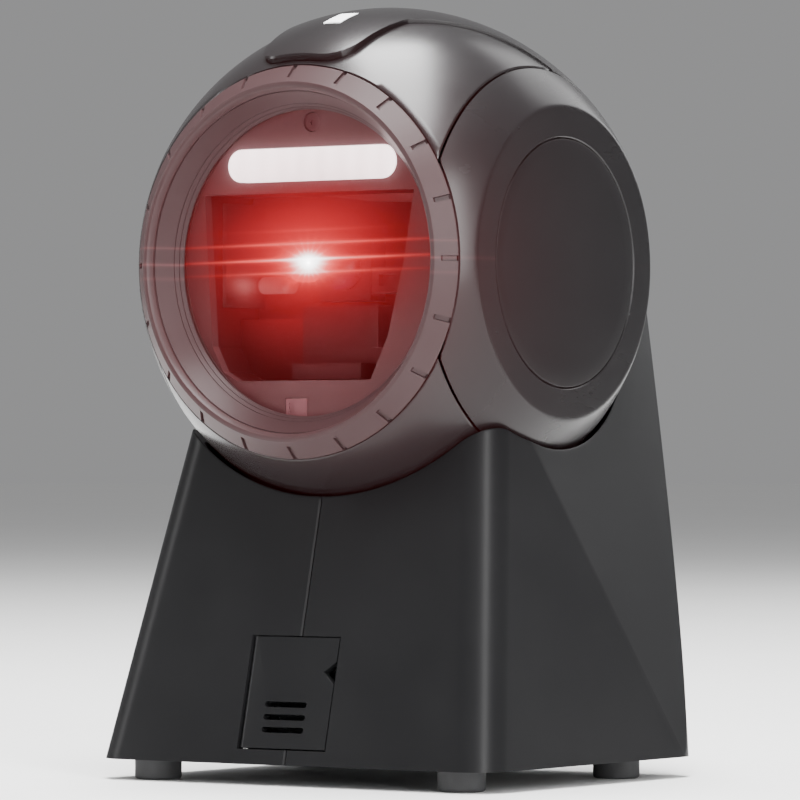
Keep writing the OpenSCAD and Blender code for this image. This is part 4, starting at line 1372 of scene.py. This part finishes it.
@dataclass
class Works:
    """The pieces kept as drawn: the stand's works, the lit tray and the electronics.

    Attributes:
        pivot: the tilt axis' middle, in millimetres.
        bar_depth, bar_z: distance of the light bar's face in front of the axis, and its height.
        bar_half: half the straight length of the light bar.
        mirror_x, mirror_depth, mirror_z: place of the painted reflection of the lamp on the side mirror.
    """

    pivot: np.ndarray
    bar_depth: float = 27.5
    bar_z: float = 18.8
    bar_half: float = 16.4
    mirror_x: float = -22.5
    mirror_depth: float = 18.3
    mirror_z: float = -3.6

    def before_axis(self, x: float, depth: float, z: float) -> tuple[float, float, float]:
        """A place in metres from X, distance in front of the tilt axis and Z in millimetres."""
        px, py, pz = self.pivot
        return ((px + x) * MM, (py - depth) * MM, (pz + z) * MM)

    def dress_optics(self) -> None:
        """Dresses what shows through the window, with painted light from the aiming lamp and the light bar."""
        # Painted light: the glows are emission standing in for the aiming lamp's red light and the light bar's
        # light falling on the tray, cavity and parts; the red tints of these parts' base colours are painted
        # red light too; the glow on the side mirror is a painted reflection of the lamp.
        aimer = Glow(self.before_axis(-11.6, 19.5, -0.6), 9.0, (1.0, 0.02, 0.02), 1.1)
        painted_red_wash = Glow(self.before_axis(-6.0, 20.0, -0.6), 17.0, (1.0, 0.03, 0.035), 0.08)
        bar = Glow(self.before_axis(0.0, self.bar_depth, self.bar_z), 2.3, (1.0, 0.86, 0.88), 1.9,
                   self.bar_half)
        painted_lamp_reflection = Glow(self.before_axis(self.mirror_x, self.mirror_depth, self.mirror_z), 4.6,
                     (1.0, 0.42, 0.4), 0.6, thin_mm=2.3)
        dress(Plastic("tray_lit_plastic", (0.055, 0.027, 0.03), 0.42, 0.3, 0.006, 0.06, 0.015,
                      glows=(painted_red_wash, bar)), "optical_tray")
        dress(Plastic("cavity_lit_plastic", (0.02, 0.004, 0.005), 0.4, 0.3, 0.005, 0.06, 0.006, 0.14,
                      (aimer, painted_red_wash)), "cavity_housing")
        dress(Plastic("step_lit_plastic", (0.042, 0.010, 0.012), 0.38, 0.3, 0.005, 0.06, 0.01, 0.16, (painted_red_wash,)),
              "step_bracket", "side_block")
        dress(Plastic("imager_black", (0.02, 0.006, 0.007), 0.4, specular=0.16, glows=(painted_red_wash,)), "imager_module")
        dress(Plastic("sensor_smoked", (0.16, 0.09, 0.10), 0.2, 0.3, 0.002, glows=(painted_red_wash,)), "sensor_window")
        # The mirrors' base colours, one dark and one bright and both tinted red, are painted reflections lit by
        # painted red light.
        dress(Plastic("side_mirror_painted_dim_reflection", (0.03, 0.014, 0.015), 0.25, 0.3, 0.001, 0.03, 0.002, glows=(painted_red_wash, painted_lamp_reflection)),
              "side_mirror")
        dress(Plastic("top_mirror_painted_bright_reflection", (0.2, 0.08, 0.085), 0.3, 0.3, 0.001, 0.03, 0.02, glows=(painted_red_wash,)),
              "top_mirror")
        dress(Metal("dark_plated_screw", (0.2, 0.13, 0.14), 0.36, 0.1, 3.0), "tray_screw")
        dress(LitDiffuser("light_bar_diffuser", (1.0, 0.985, 0.99), 4.2, 4.6, 0.05), "light_bar")
        dress(ClearLens("coated_lens", (0.02, 0.012, 0.03), (0.10, 0.03, 0.12)), "imager_lens")
        dress(LitWindow("red_lit_window", self.before_axis(0.3, 29.0, 0.0)), "scan_window")

    def dress_stand(self) -> None:
        """Dresses the works inside the stand."""
        dress(Plastic("black_matte_plate", (0.03, 0.03, 0.032), 0.6), "bottom_plate")
        dress(Plastic("connector_black", (0.02, 0.02, 0.021), 0.45), "cable_socket")
        dress(Plastic("bracket_dark_grey", (0.1, 0.1, 0.11), 0.5), "speaker_bracket")
        dress(Plastic("clip_dark_grey", (0.06, 0.06, 0.065), 0.5), "harness_clips")
        dress(Plastic("paper_cone_black", (0.03, 0.03, 0.03), 0.85, 0.25, 0.03), "speaker_cone")
        dress(Rubber("black_lead_jacket", (0.02, 0.02, 0.022), (0.04, 0.04, 0.042)), "stem_harness")
        dress(Metal("cast_iron_grey", (0.2, 0.2, 0.21), 0.6, 0.5, 1.0, 0.05), "ballast_blocks")
        dress(Metal("plated_basket", (0.4, 0.4, 0.42), 0.35), "speaker_frame")
        dress(Metal("sintered_bronze", (0.6, 0.4, 0.2), 0.4, 0.2), "stem_bushes")

    def dress_shared(self) -> None:
        """Dresses the metalwork, boards and small parts of the head and of both."""
        dress(Plastic("buzzer_black", (0.02, 0.02, 0.02), 0.35), "buzzer")
        dress(Plastic("washer_fibre_brown", (0.28, 0.13, 0.06), 0.7, 0.2, 0.02), "friction_washers")
        dress(Rubber("black_foam", (0.015, 0.015, 0.015), (0.03, 0.03, 0.03)), "window_gasket")
        dress(Metal("zinc_plated_steel", (0.62, 0.62, 0.6), 0.32, 0.15, 3.0), "plate_screws", "ballast_screws",
              "stem_screws", "cheek_screws", "board_screws", "axle_nut", "door_pin", "tilt_axle")
        dress(Metal("die_cast_alloy", (0.5, 0.5, 0.52), 0.45, 0.4, 1.0, 0.03), "tilt_stem", "head_chassis")
        dress(Laminate("green_laminate", (0.01, 0.07, 0.03), (0.03, 0.16, 0.07)), "interface_board",
              "decoder_board", "sensor_board", "status_board")
        dress(Laminate("white_laminate", (0.75, 0.75, 0.73), (0.82, 0.82, 0.8)), "light_bar_board")
        dress(LitDiffuser("status_light_diffuser", (1.0, 1.0, 1.0), 1.2, 4.0, 0.03), "status_lens")


# ---------------------------------------------------------------- stage


@dataclass(frozen=True)
class Softbox:
    """A large soft light.

    Attributes:
        name: the light's name.
        azimuth: direction it stands in, degrees round from the window's side, towards +X.
        elevation: height angle, degrees.
        distance: distance from the object's middle, metres.
        size: width and height, metres.
        power: watts.
    """

    name: str
    azimuth: float
    elevation: float
    distance: float
    size: tuple[float, float]
    power: float

    def place(self, target: Vector) -> None:
        """Hangs the light and turns it to the target."""
        data = bpy.data.lights.new(self.name, "AREA")
        data.shape = "RECTANGLE"
        data.size, data.size_y = self.size
        data.energy = self.power
        lamp = bpy.data.objects.new(self.name, data)
        bpy.context.scene.collection.objects.link(lamp)
        az, el = math.radians(self.azimuth), math.radians(self.elevation)
        away = Vector((math.sin(az) * math.cos(el), -math.cos(az) * math.cos(el), math.sin(el)))
        lamp.location = target + away * self.distance
        lamp.rotation_euler = (-away).to_track_quat("-Z", "Y").to_euler()


def set_camera() -> None:
    """A long lens low in front of the right corner, level but for half a degree upwards."""
    azimuth, elevation = math.radians(34.88), math.radians(-0.60)
    data = bpy.data.cameras.new("camera")
    data.lens, data.sensor_width, data.clip_end = 247.5, 36.0, 100.0
    camera = bpy.data.objects.new("camera", data)
    bpy.context.scene.collection.objects.link(camera)
    camera.location = (0.6084, -0.8791, 0.0618)
    level = math.cos(elevation)
    ahead = Vector((-math.sin(azimuth) * level, math.cos(azimuth) * level, -math.sin(elevation)))
    camera.rotation_euler = ahead.to_track_quat("-Z", "Y").to_euler()
    bpy.context.scene.camera = camera


def set_stage() -> None:
    """A pale round floor, a plain pale surround and soft lights."""
    rings = np.array([0.0, 0.3, 0.8, 2.0, 5.0, 12.0])
    around = even(96)
    flat = np.zeros((len(rings), len(around)))
    grid = np.stack([np.outer(rings, np.cos(around)), np.outer(rings, np.sin(around)), flat], axis=-1)
    index = np.arange(flat.size).reshape(flat.shape)
    cells = quads(np.concatenate([index, index[:, :1]], axis=1))[..., ::-1]
    mesh = bpy.data.meshes.new("floor")
    mesh.from_pydata(grid.reshape(-1, 3).tolist(), [], cells.reshape(-1, 4).tolist())
    floor = bpy.data.objects.new("floor", mesh)
    bpy.context.scene.collection.objects.link(floor)
    recipe = Recipe("pale_floor")
    mesh.materials.append(recipe.finish(recipe.principled({
        "Base Color": recipe.blend((0.76, 0.76, 0.755), (0.8, 0.8, 0.795), recipe.noise(6.0, 3.0)),
        "Roughness": recipe.noise(20.0) * 0.1 + 0.6})))
    world = bpy.data.worlds.new("surround")
    world.use_nodes = True
    back = world.node_tree.nodes["Background"]
    back.inputs["Color"].default_value = (0.82, 0.82, 0.83, 1.0)
    back.inputs["Strength"].default_value = 0.37
    bpy.context.scene.world = world
    middle = Vector((0.0, 0.0, 0.08))
    for box in (Softbox("overhead", 40.0, 84.0, 1.1, (0.40, 1.3), 68.0),
                Softbox("corner_strip", 60.0, 16.0, 1.3, (0.20, 1.1), 24.0),
                Softbox("left_strip", -62.0, 20.0, 1.3, (0.2, 1.0), 7.0),
                Softbox("rear_fill", 175.0, 30.0, 1.6, (0.8, 1.2), 9.0)):
        box.place(middle)
    sky = bpy.data.lights.new("sky_panel", "SUN")
    sky.energy, sky.angle = 0.27, math.radians(100.0)
    bpy.context.scene.collection.objects.link(bpy.data.objects.new("sky_panel", sky))


def main() -> None:
    """Builds the stage, the stand and the head, and dresses what is kept."""
    logging.basicConfig(level=logging.INFO, format="%(message)s")
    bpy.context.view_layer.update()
    set_camera()
    set_stage()
    Stand().build()
    head = Head()
    head.build()
    works = Works(head.pivot)
    works.dress_stand()
    works.dress_optics()
    works.dress_shared()


if __name__ == "__main__":
    main()
